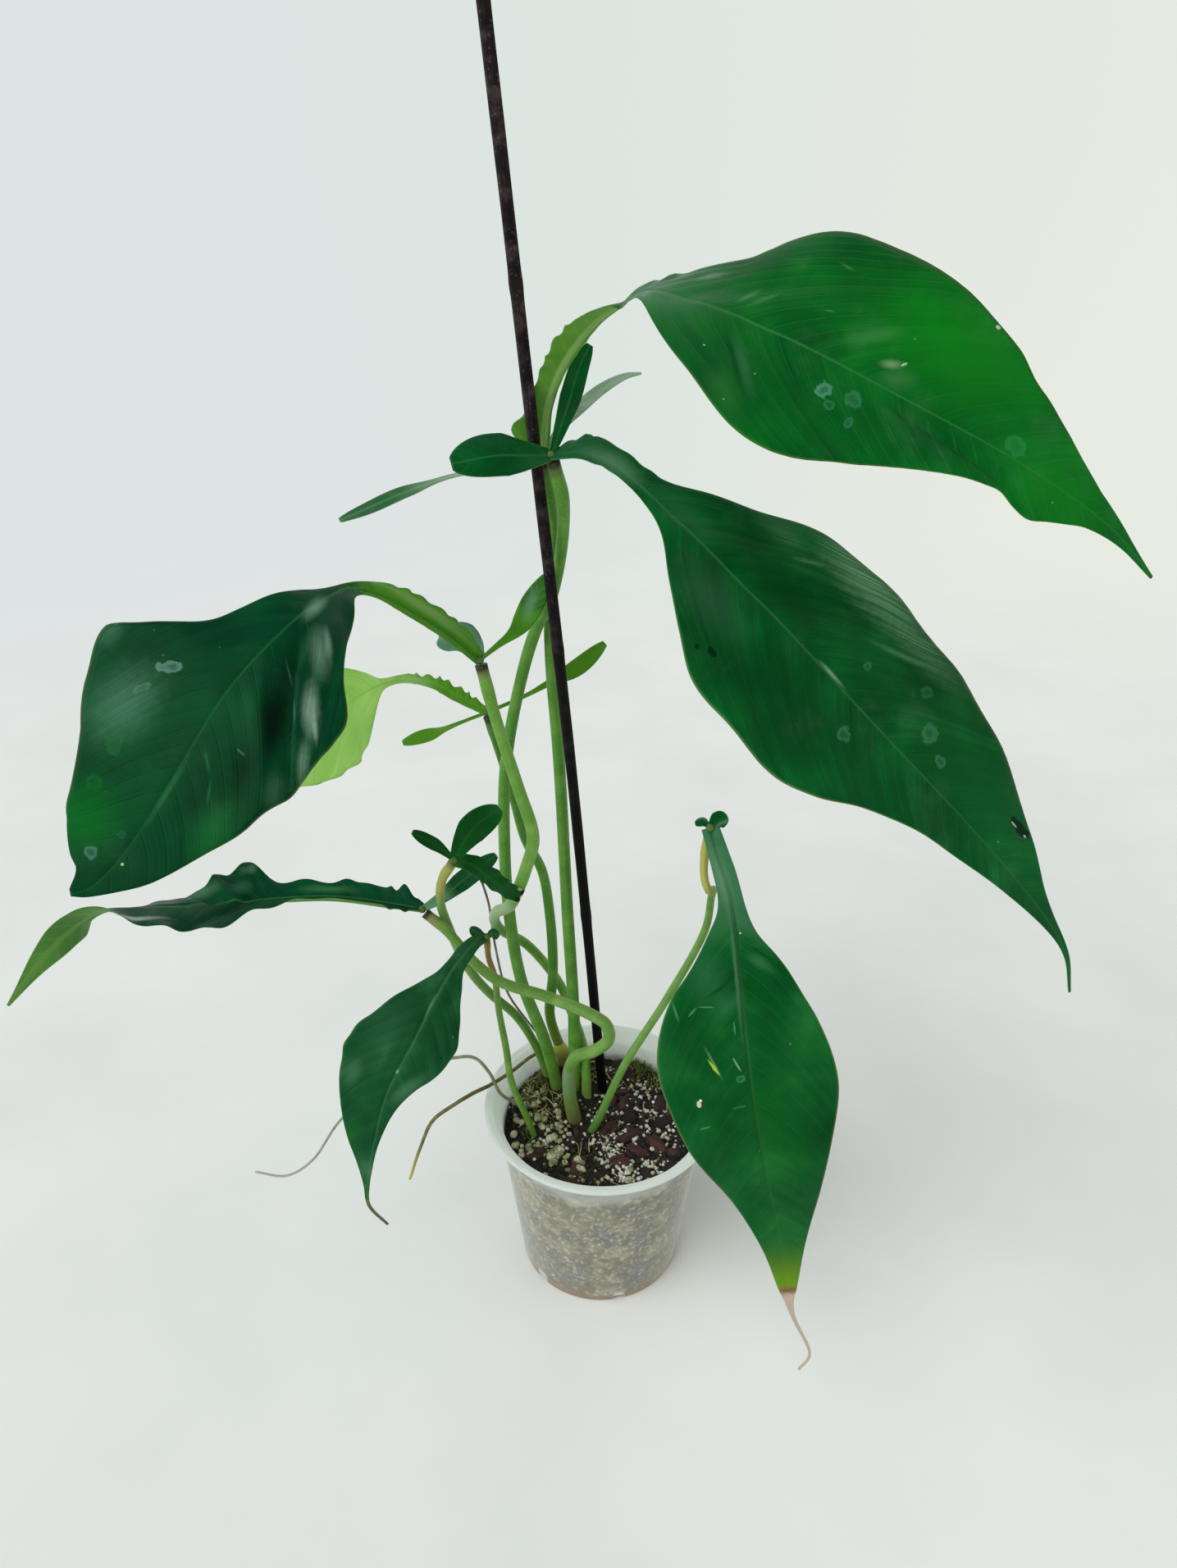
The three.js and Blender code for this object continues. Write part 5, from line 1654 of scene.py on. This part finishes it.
STALKS = (
    Stalk("upper_right", STALK_GREEN,
        ((-25, 24, 420), (-22, 28, 403), (-21, 31, 389), (-22, 35, 371), (-23.5, 36, 353), (-23, 33, 326),
            (-20, 29, 281), (-17, 25.5, 205), (-14, 22, 137), (-14, 21, 88), (-14, 21, 74)),
        ((0, 2.4), (0.5, 2.8), (1, 3.2))),
    Stalk("middle_right", STALK_GREEN,
        ((-20, 8, 424), (-17, 12, 411), (-16.5, 18, 401), (-18.5, 26, 380), (-23, 28, 361), (-29, 31, 348),
            (-36, 33.5, 325), (-45, 33, 279), (-47, 31, 235), (-46, 28, 203), (-41, 25, 160),
            (-29, 22.5, 119), (-23.5, 22, 88), (-23, 22, 74)),
        ((0, 2.5), (0.5, 2.8), (1, 3.2))),
    Stalk("left", STALK_PALE,
        ((-51, 0, 342), (-46, -2, 320), (-37, -6, 288), (-31, -8, 264), (-35, -5, 245), (-40, 1, 228),
            (-45, 10, 214), (-51, 18, 206), (-53, 26, 195), (-50, 34, 183), (-38, 42, 168), (-22, 41, 144),
            (-14, 33, 126), (-9, 25, 112), (-7.5, 17, 88), (-7, 12, 74)),
        ((0, 2.4), (0.4, 2.9), (0.6, 2.5), (1, 2.6))),
    Stalk("back", STALK_SHADED,
        ((-53, 42, 298), (-44, 46, 259), (-38, 48, 229), (-30, 49, 209), (-26, 42, 183), (-25, 36, 155),
            (-27, 33.5, 130), (-24.6, 33.2, 117), (-22.7, 33.1, 110.6)),
        ((0, 2.1), (0.5, 2.5), (1, 2.7))),
    Stalk("long_left", STALK_PINK,
        ((-81, -1, 216), (-73, -4, 211), (-60, -9, 196), (-48, -12, 187), (-27, -14, 180), (-6, -16, 171),
            (2, -17, 165), (3, -17, 156), (-4, -16, 148), (-12, -13, 142), (-16, -8, 128), (-16, -1, 103),
            (-14, 2, 86), (-13, 4, 74)),
        ((0, 2.2), (0.4, 2.8), (0.75, 3.2), (1, 3.9))),
    Stalk("front_left", STALK_BROWNED,
        ((-54, -4, 205), (-54, -1, 192), (-52, 0, 182), (-50, -4, 162), (-47, -8, 142), (-45, -10, 123),
            (-38, -10, 99), (-34, -8, 82), (-31, -7, 72)),
        ((0, 1.3), (0.5, 1.7), (1, 1.6))),
    Stalk("small_lobed", STALK_HOOKED,
        ((-66, -19, 257), (-71, -16, 248), (-74, -8, 231), (-74, 4, 211), (-66, 17, 172), (-57, 23, 152),
            (-44, 27.5, 133), (-34, 29, 110), (-28, 29, 88), (-25.5, 29, 74)),
        ((0, 1.9), (0.5, 2.3), (1, 2.2))),
    Stalk("front_right", STALK_HOOKED,
        ((41.5, -48, 290.5), (40.2, -51.5, 282), (40, -58, 275), (42, -60, 270.5), (44, -56, 269),
            (44, -51, 262), (43, -44, 240), (29, -34, 195), (11, -23, 146), (-2, -9, 95), (-5, -5, 84),
            (-7, -2, 74)),
        ((0, 1.5), (0.2, 1.6), (0.5, 1.8), (1, 2.1))),
)

# Where each stem enters the mix, with the room that it takes there, in mm
STEM_FEET = (
    (-14, 21, 4), (-23, 22, 4), (-7, 14, 3.5), (-13.5, 3, 4.5), (-33.5, -8, 2.5), (-27, 29, 3), (-6, -4, 3),
    (1.5, 22, 3.2), (-18, 30, 5), (-40, 5.5, 1.5),
)

# Where each kind gathers: rows of mm across and in depth, spread in mm, and how many lie there
PERLITE_PATCHES = (
    (6.9, -22.3, 5, 90), (10.7, -33, 5, 60), (25, -29, 5, 50), (35, -4, 6, 60), (27, 20, 8, 80),
    (1, -11, 5, 50), (16, -4, 7, 50), (0, 8, 8, 30), (8, 36, 9, 30), (-24, -8, 9, 30), (0, 0, 26, 70),
)
GRIT_PATCHES = (
    (-28, -2, 6, 45), (-22, -22, 5, 34), (-36, -16, 5, 26), (-36, 14, 6, 20), (-8, -34, 5, 12),
    (14, -36, 5, 8),
)
BARK_PATCHES = (
    (12.8, 12.1, 0.5, 1), (-12.4, -30.4, 0.5, 1), (9.8, -26.9, 0.5, 1), (23, -35.1, 0.5, 1),
    (36, -19.6, 0.5, 1), (31.6, 13.1, 0.5, 1), (3, -2.7, 2, 1), (17.9, -18.8, 0.5, 1), (-14, -40, 2, 1),
    (34, 4, 3, 2), (-24, 40, 5, 3), (16, 42, 5, 3), (0, 0, 24, 14),
)
CRUMB_PATCHES = ((0, 0, 26, 1000),)
MOSS_PATCHES = (
    (-31, 23.6, 4.5, 260), (-38, 12, 3.5, 120), (21.7, 40.3, 5, 380), (-26, -2, 8, 90), (-8, 36, 5, 200),
    (30, 30, 4, 160), (-36, -6, 4, 80), (-10, -30, 8, 60),
)
STRAND_PATCHES = ((-31, 23.6, 5, 80), (-36, 10, 5, 24), (-6, 34, 8, 24), (16, 40, 6, 16), (0, 0, 24, 30))
GRAINS = (
    Grain("mix_perlite", PERLITE, PERLITE_PATCHES, (0.5, 1.2), (1, 0.9, 0.85), 0.9, 0.2, 2),
    Grain("mix_grit", PUMICE, GRIT_PATCHES, (0.9, 2.2), (1, 0.9, 0.8), 0.9, 0.3, 2),
    Grain("mix_bark", BARK, BARK_PATCHES, (4, 7), (1, 0.65, 0.32), 0.6, 0.5, 3),
    Grain("mix_crumbs", CRUMB, CRUMB_PATCHES, (0.6, 1.6), (1, 0.85, 0.7), 0.8, 0.4, 1),
)

# Widths of lobes, as shares of their fullest
STRAP = ((0, 0.5), (0.5, 0.32), (0.66, 0.8), (0.82, 1), (1, 1))
LANCE = ((0, 0.9), (0.4, 1), (0.75, 0.8), (1, 0.5))
SPATULA = ((0, 0.42), (0.3, 0.5), (0.55, 0.95), (0.75, 1.1), (1, 1))
SPOON = ((0, 0.35), (0.5, 0.36), (0.68, 0.85), (0.82, 1), (1, 1))

LEAVES = (
    Blade("upper_right", UPPER_RIGHT_LEAF, (7, 0.9, 0.05), slot="leaf_bright",
        rib=((-25, 24, 423.5), (-22.5, 22, 443), (-17, 17, 458), (-6, 7, 474.5), (4.5, -7, 484),
            (14, -24, 490), (30.5, -44, 488.5), (56, -58, 480), (94, -72, 463), (129, -82, 446),
            (159, -88, 427), (174, -90, 412)),
        faces=((0, -0.1, 0.95, 0.2), (0.1, -0.15, 0.93, 0.3), (0.2, -0.4, 0.8, 0.45),
            (0.262, -0.35, 0.6, 0.6), (0.285, -0.3, -0.55, 0.8), (0.31, -0.2, -0.45, 0.87),
            (0.34, -0.1, -0.35, 0.9), (0.6, -0.1, -0.65, 0.75), (1, 0.1, -0.75, 0.65)),
        widths=((0, 2.5, 2.5), (0.03, 2.5, 13), (0.06, 2.2, 8), (0.12, 2.4, 7.5), (0.17, 3, 9),
            (0.22, 3.4, 7), (0.255, 3.4, 5), (0.28, 3.6, 4.6), (0.31, 10, 6), (0.35, 17, 8), (0.4, 28, 16),
            (0.45, 41, 27), (0.5, 48, 36), (0.55, 50, 39), (0.6, 50, 37), (0.65, 47, 29), (0.7, 43, 21),
            (0.75, 36, 15.5), (0.78, 28, 13.2), (0.8, 24.5, 12.2), (0.82, 21, 14.2), (0.84, 17.8, 15),
            (0.86, 14.2, 12), (0.88, 10.8, 9), (0.9, 7.5, 6), (0.95, 2.5, 2.5), (1, 0.6, 0.6)),
        creases=(
            Crease((192, 4), (238, 9), 1.6, 1.1), Crease((186, -40), (204, -31), 2.2, -0.8),
            Crease((193, -12), (200, -16), 1.2, -0.5), Crease((120, -3), (170, -36), 4.5, 0.7),
            Crease((150, 3), (196, 30), 4, 0.5),
        ),
        ruffles=(
            Ruffle(1, 4, 62, 0.9, 7.5, 0.05), Ruffle(-1, 2, 60, 0.4, 9, 0.04),
            Ruffle(-1, 86, 106, 0.7, 8, 0.04),
        ),
        lobes=(
            Lobe(((-19, 28, 432), (-12, 31, 439), (-2, 34, 447), (8, 36, 452), (14.5, 37, 453)), 2.6,
                (0.3, -0.8, 0.5), shape=LANCE, tones=(0, 0.3), finish=SILVERY_LOBE),
            Lobe(((-33, 25, 420), (-60, 19, 417), (-77, 11, 413), (-103, -3, 405)), 3.6, (0.1, -0.55, 0.8),
                shape=STRAP, tones=(0, 0.45), finish=SILVERY_LOBE),
        )),
    Blade("middle_right", MIDDLE_RIGHT_LEAF, (8, 0.8, 0.05),
        rib=((-21, 8.5, 427.5), (-10, 4, 430), (2, -2, 427), (20, -14, 415), (41, -27, 398), (66, -40, 376),
            (99, -54, 344), (147, -70, 297), (171, -78, 270), (180, -82, 256), (184, -84, 239)),
        faces=((0, -0.1, -0.4, 0.9), (0.2, 0.1, -0.5, 0.85), (0.4, 0.1, -0.6, 0.75), (1, 0.3, -0.7, 0.6)),
        widths=((0, 3, 3), (0.04, 10, 4.5), (0.1, 8, 3.5), (0.15, 10.5, 4.5), (0.2, 20, 10), (0.25, 29, 22),
            (0.3, 38, 34), (0.35, 43, 43), (0.42, 46, 45), (0.5, 46, 45), (0.55, 44.5, 39), (0.6, 43, 28),
            (0.65, 39.5, 21), (0.7, 34, 16), (0.8, 18, 9), (0.86, 7, 5), (0.92, 2, 2), (1, 0.6, 0.6)),
        creases=(
            Crease((60, -4), (110, -34), 4, 0.9), Crease((100, -3), (150, -40), 4, 0.7),
            Crease((92, 4), (140, 38), 4, 0.6),
        ),
        ruffles=(
            Ruffle(-1, 2, 16, 0.9, 4.5, 0.14), Ruffle(-1, 16, 46, 0.6, 12, 0.03),
            Ruffle(1, 3, 40, 0.4, 11, 0.03),
        ),
        lobes=(
            Lobe(((-32, 1, 429), (-41, -3, 430), (-58, -8, 428)), 9, (0, -0.75, 0.65)),
            Lobe(((-17.5, 12, 437), (-13.6, 20, 447), (-10.5, 26, 456.5), (-6, 29, 465)), 4.6,
                (0.5, -0.8, 0.3)),
        )),
    Blade("left", LEFT_LEAF, (7, 1, 0.02),
        rib=((-51.5, 0, 345.5), (-61, -8, 359), (-74, -19, 374), (-86, -28, 385), (-95, -38, 390),
            (-102, -51, 390), (-110, -64, 387), (-128, -87, 372), (-146, -107, 347), (-161, -124, 327),
            (-171, -130, 319), (-176.5, -131.5, 318)),
        faces=((0, 0, -0.75, 0.65), (0.25, 0, -0.7, 0.7), (0.5, 0.1, -0.6, 0.8), (1, 0.1, -0.8, 0.6)),
        widths=((0, 2.5, 3), (0.06, 3, 6), (0.2, 3.5, 6.5), (0.3, 3, 3), (0.35, 7, 3), (0.4, 15, 8.5),
            (0.45, 21, 13), (0.5, 29, 18), (0.55, 39, 24), (0.6, 41, 39), (0.63, 40.5, 49), (0.7, 38, 44),
            (0.75, 33, 39), (0.8, 29, 33), (0.85, 22, 28), (0.89, 16.5, 25), (0.92, 11.8, 21.5),
            (0.95, 6.4, 16.6), (0.975, 2.8, 11), (1, 0.8, 1.8)),
        furrows=(Furrow(110, -1, 8, 5), Furrow(92, -1, 8, -1.7), Furrow(128, -1, 8, -1)),
        creases=(Crease((3, 0.3), (66, -0.6), 0.8, 1), Crease((10, 2.6), (60, 2.2), 0.9, -0.8)),
        ruffles=(Ruffle(1, 3, 60, 0.7, 9, 0.06), Ruffle(-1, 4, 60, 0.2, 9, 0.02)),
        lobes=(
            Lobe(((-45, 6, 349), (-36.5, 13, 354), (-29.5, 20, 364), (-23, 22, 375)), 4.8, (0.15, -0.95, 0.3),
                shape=SPATULA, tones=(0.1, 0.3)),
            Lobe(((-55, 8, 348), (-60, 13, 350), (-71, 22, 346)), 7, (-0.1, -0.7, 0.7), finish=GREYISH_LOBE),
        )),
    Blade("back", BACK_LEAF, (8, 1.3, 0.02), slot="leaf_light",
        rib=((-53.5, 42, 301.5), (-68, 49, 306), (-79, 54, 310), (-91, 60, 310), (-103, 66, 306),
            (-114, 71, 299), (-124, 75, 291), (-140, 81, 275), (-157, 87, 257), (-172, 91, 241),
            (-186, 94, 229)),
        faces=((0, -0.1, -0.5, 0.85), (0.35, -0.1, -0.55, 0.8), (1, -0.3, -0.75, 0.6)),
        widths=((0, 2, 2.2), (0.1, 2.4, 5), (0.2, 2.2, 4), (0.3, 2.6, 2.8), (0.36, 8, 4), (0.4, 31, 9),
            (0.5, 33, 22), (0.6, 30, 28), (0.7, 25, 25), (0.8, 17, 17), (0.9, 8, 8), (1, 0.6, 0.6)),
        ruffles=(Ruffle(1, 2, 46, 1.2, 5.5, 0.18), Ruffle(-1, 2, 46, 0.5, 7, 0.08)),
        lobes=(
            Lobe(((-36, 46, 308), (-25, 47, 314), (-11, 48, 322), (1, 49, 333)), 4.5, (0.2, -0.8, 0.5),
                shape=SPOON, tones=(0, 0.1)),
            Lobe(((-66, 38, 298), (-79, 34, 294), (-92, 31, 291)), 4, (0.1, -0.5, 0.8), shape=SPOON,
                tones=(0, 0.1)),
        )),
    Blade("long_left", LONG_LEFT_LEAF, (9, 1.2, 0.05),
        rib=((-84, 0, 220), (-101, 5, 220), (-126, 6, 223), (-148, 2, 225), (-176, -8, 229), (-200, -22, 237),
            (-219, -38, 244), (-233, -54, 236), (-248, -68, 219)),
        faces=((0, -0.1, 0.2, 0.95), (0.35, 0, 0.3, 0.93), (0.68, 0, 0.3, 0.93), (0.78, -0.3, 0.8, 0.45),
            (0.86, -0.4, 0.9, 0.1), (1, -0.4, 0.9, 0.1)),
        widths=((0, 3, 3), (0.06, 8, 9), (0.1, 4, 8), (0.2, 3.5, 9), (0.25, 3.2, 7.5), (0.3, 3, 9.5),
            (0.35, 7, 11), (0.4, 10, 22), (0.45, 15.5, 19), (0.5, 20, 13), (0.55, 19, 12), (0.6, 18, 12),
            (0.65, 17, 12), (0.7, 14, 12), (0.74, 12, 12), (0.78, 11, 11.5), (0.82, 8.6, 9), (0.86, 6.4, 6.6),
            (0.9, 4.4, 4.6), (0.95, 2.2, 2.4), (1, 0.6, 0.6)),
        fold=((0, 10, 45), (0.25, 0, 45), (0.33, -8, 40), (0.42, -14, 35), (0.5, -16, 15), (0.6, -16, -15),
            (0.7, -12, -12), (0.8, 0, 0), (1, 0, 0)),
        creases=(
            Crease((88, 2), (96, 18), 2, -1.6), Crease((98, 2), (108, 14), 2.2, 1.4),
            Crease((110, 0), (150, 4), 1.6, 0.8), Crease((84, -2), (104, -14), 2.4, 1.2),
            Crease((76, 6), (80, 20), 1.8, 1.2),
        ),
        ruffles=(
            Ruffle(-1, 2, 20, 1.5, 9, 0.16), Ruffle(1, 2, 20, 1.6, 8, 0.16),
            Ruffle(-1, 20, 76, 0.4, 19, 0.02), Ruffle(1, 20, 70, 0.6, 17, 0.04),
            Ruffle(-1, 76, 150, 0.8, 23, 0.04), Ruffle(1, 70, 140, 1, 18, 0.06),
        ),
        keel=2.2, keel_half=1.6,
        keel_run=((0, 0.6), (0.08, 1), (0.34, 0.9), (0.42, 0.3), (0.7, 0.2), (1, 0.1)),
        lobes=(
            Lobe(((-74, 0, 227), (-66, -1, 235), (-56, -3, 245), (-48, -5, 253)), 4.5, (0.3, -0.7, 0.6),
                tones=(0.1, 0.9), finish=FOLDED_LOBE),
        )),
    Blade("front_left", FRONT_LEFT_LEAF, (5, 0.5, 0.1),
        rib=((-54, -6, 208.5), (-59, -14, 211), (-66, -23, 207), (-72, -31, 201), (-84, -48, 183),
            (-96, -60, 163), (-102, -67, 143), (-107, -72, 118), (-107, -73, 106), (-99, -75, 96)),
        faces=((0, 0.2, -0.6, 0.75), (1, -0.2, -0.8, 0.5)),
        widths=((0, 2, 2), (0.1, 4, 4), (0.15, 5, 4), (0.2, 9, 6), (0.25, 12, 11.5), (0.3, 16, 17),
            (0.37, 19, 23), (0.45, 15.5, 27), (0.5, 11.5, 26), (0.6, 5.5, 20), (0.7, 2.2, 13),
            (0.8, 1.4, 4.5), (0.86, 1, 1.4), (1, 0.6, 0.6)),
        creases=(Crease((2, 0), (110, 0), 1, 0.5),),
        ruffles=(Ruffle(-1, 20, 90, 0.5, 17, 0.02), Ruffle(1, 20, 90, 0.5, 15, 0.02)),
        lobes=(
            Lobe(((-58, -8, 212), (-61, -9, 216)), 2.5, (0.3, -0.8, 0.5)),
            Lobe(((-51, -5, 210), (-49, -5, 207)), 2.2, (0.2, -0.7, 0.7)),
        )),
    Blade("small_lobed", SMALL_LOBED_LEAF, (2, 0.4, 0.1),
        rib=((-65, -20.5, 260.5), (-58, -19, 257), (-49, -15, 246), (-43, -11, 238), (-37, -7, 232)),
        faces=((0, -0.1, -0.7, 0.7), (1, -0.3, -0.7, 0.6)),
        widths=((0, 3, 3), (0.3, 5, 3.3), (0.7, 4.2, 3.6), (1, 3.2, 3)),
        ruffles=(Ruffle(-1, 3, 40, 0.6, 9, 0.14), Ruffle(1, 3, 40, 0.6, 8, 0.14)),
        lobes=(
            Lobe(((-60, -20, 270), (-55, -20, 277), (-44, -20, 286)), 6.5, (0.1, -0.9, 0.4)),
            Lobe(((-71, -22, 268), (-76, -24, 273), (-81, -26, 278)), 2.8, (0.2, -0.8, 0.5)),
        )),
    Blade("front_right", FRONT_RIGHT_LEAF, (5, 0.6, 0.1),
        rib=((42, -50, 294.5), (45, -57, 286), (50, -66, 271), (54, -78, 244), (56, -85, 226), (64, -97, 174),
            (75, -104, 125), (84, -107, 77), (94, -109, 50), (90, -109, 40)),
        faces=((0, -0.1, -0.9, 0.3), (1, -0.1, -0.9, 0.4)),
        widths=((0, 3.6, 3.6), (0.06, 4.6, 4.2), (0.12, 5, 6), (0.16, 8, 11.5), (0.2, 15.5, 18),
            (0.25, 23, 28), (0.3, 29, 34.5), (0.36, 33.5, 37.5), (0.42, 34.5, 35.5), (0.5, 30, 29.5),
            (0.6, 21, 17), (0.7, 10.5, 8.6), (0.8, 4.2, 3.6), (0.83, 1.9, 1.9), (0.87, 0.9, 0.9),
            (1, 0.6, 0.6)),
        creases=(
            Crease((2, 0), (150, 0), 0.9, 0.7), Crease((47, -2), (58, -16), 1.8, 0.5),
            Crease((61, 2), (71, 17), 1.8, 0.5),
        ),
        lobes=(
            Lobe(((39, -49, 296.5), (36, -49, 295.5)), 1.8, (0.1, -0.9, 0.4)),
            Lobe(((45, -50, 298), (48.5, -51, 300)), 3.6, (0.1, -0.9, 0.4)),
        )),
)


# Setting


@dataclass
class Studio:
    """The pale floor, the soft light and the camera."""

    # Where the camera stands, in mm, and how far it looks down, in degrees
    eye: Point = (-6.5, -452.7, 536.6)
    pitch: float = 28.9
    lens: float = 27.06
    sensor: float = 36.0
    # The floor's rings and its melting into the surroundings, in metres
    floor_radii: Sequence[float] = (0.05, 0.3, 0.8, 1.6, 3.0, 8.0, 40.0)
    floor_steps: int = 48
    floor_fade: Pair = (0.5, 1.6)
    floor_tones: Stops = ((0.3, "#e9edeb"), (0.7, "#f2f5f2"))
    ceiling: float = 0.3
    horizon: Stops = ((0.0, "#dee3e5"), (0.5, "#dde5e1"), (1.0, "#e8ebe1"))
    horizon_turn: Pair = (-0.45, 0.45)
    # Name, direction, spread in degrees, power and colour of each lamp
    lamps: Sequence[tuple] = (
        ("key", (-0.6, -0.42, 0.66), 64, 2.25, "#fdfeff"),
        ("fill", (0.75, -0.3, 0.6), 60, 0.35, "#fff6ea"),
        ("back", (0.2, 0.8, 0.55), 60, 0.35, "#ffffff"),
    )

    def floor(self) -> None:
        """Lays a wide pale floor just under the pot that melts into the surroundings far away."""
        angle = circle(self.floor_steps)
        radii = np.asarray(self.floor_radii)[:, None]
        x, y = radii * np.cos(angle) / MM, radii * np.sin(angle) / MM
        points = np.vstack([np.stack([x, y, x * 0], -1).reshape(-1, 3), [[0, 0, 0]]])
        rings, hub, _ = tube_faces(len(radii), self.floor_steps)
        draft = Draft()
        draft.add(points, (rings[:, ::-1], hub[:, ::-1]))
        material, add = new_material("matt_paint")
        place = add("TexCoord").outputs["Object"]
        # Rolled matt paint dries a little uneven, so its grey drifts in soft clouds
        cloud = add("TexNoise", {"Vector": place, "Scale": 7.0, "Detail": 4.0})
        colour = add("ValToRGB", {"Fac": cloud}, stops=self.floor_tones)
        paint = add("BsdfPrincipled", {"Base Color": colour, "Roughness": 0.9})
        away = add("VectorMath", (place,), operation="LENGTH").outputs["Value"]
        far = add("MapRange", (away, *self.floor_fade), interpolation_type="SMOOTHERSTEP")
        side = add("SeparateXYZ", (place,)).outputs["X"]
        slope = add("Math", (side, away), operation="DIVIDE")
        haze = add("ValToRGB", {"Fac": add("MapRange", (slope, *self.horizon_turn))}, stops=self.horizon)
        glow = add("Emission", {"Color": haze, "Strength": 1.0})
        add("OutputMaterial", {"Surface": add("MixShader", (far, paint, glow))})
        draft.piece("floor", [material])

    def sun(self, name: str, toward: Point, spread: float, power: float, colour: str) -> None:
        """Hangs one soft far lamp, as a large window or panel.

        Args:
            name: The lamp's name.
            toward: Direction from the plant to the lamp.
            spread: Angle that the lamp fills, in degrees.
            power: Light on a facing surface, in watts a square metre.
            colour: The light's colour.
        """
        lamp = bpy.data.lights.new(name, "SUN")
        lamp.angle = math.radians(spread)
        lamp.energy = power
        lamp.color = linear(colour)[:3]
        holder = bpy.data.objects.new(name, lamp)
        holder.rotation_euler = Vector(toward).to_track_quat("Z", "Y").to_euler()
        bpy.context.scene.collection.objects.link(holder)

    def world(self) -> None:
        """Surrounds the plant with a pale wall up to eye level and a dimmer room above it."""
        world = bpy.data.worlds.new("studio")
        world.use_nodes = True
        world.node_tree.nodes.clear()
        add = partial(add_node, world.node_tree)
        ray = add("TexCoord").outputs["Generated"]
        side, _, height = add("SeparateXYZ", (ray,)).outputs
        colour = add("ValToRGB", {"Fac": add("MapRange", (side, *self.horizon_turn))}, stops=self.horizon)
        dim = add("MapRange", (height, 0.12, 0.5, 1.0, self.ceiling), **SOFT)
        add("OutputWorld", {"Surface": add("Background", {"Color": colour, "Strength": dim})})
        bpy.context.scene.world = world

    def camera(self) -> None:
        """Stands the camera where the plant is seen from the front and above."""
        lens = bpy.data.cameras.new("camera")
        lens.sensor_width = self.sensor
        lens.lens = self.lens
        lens.clip_start = 0.01
        holder = bpy.data.objects.new("camera", lens)
        bpy.context.scene.collection.objects.link(holder)
        holder.location = Vector(self.eye) * MM
        holder.rotation_euler = (math.radians(90 - self.pitch), 0, 0)
        bpy.context.scene.camera = holder

    def build(self) -> None:
        """Sets up the floor, the light and the camera."""
        self.floor()
        self.world()
        for lamp in self.lamps:
            self.sun(*lamp)
        self.camera()
        bpy.context.scene.view_settings.view_transform = "Standard"


def main() -> None:
    """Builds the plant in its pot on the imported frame."""
    logging.basicConfig(level=logging.INFO, format="%(message)s")
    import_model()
    pot = Pot()
    pot.build()
    mix = PottingMix(pot, STEM_FEET)
    mix.ground()
    for grain in GRAINS:
        mix.strew(grain)
    mix.moss(MOSS_PATCHES)
    mix.strands(STRAND_PATCHES)
    for stem in (STAKE, CROWN, *ROOTS):
        stem.build()
    knobs = {leaf.name: leaf.rib[0] for leaf in LEAVES}
    for stalk in STALKS:
        stalk.build(knobs[stalk.name])
    for leaf in LEAVES:
        leaf.build()
    Studio().build()


if __name__ == "__main__":
    main()
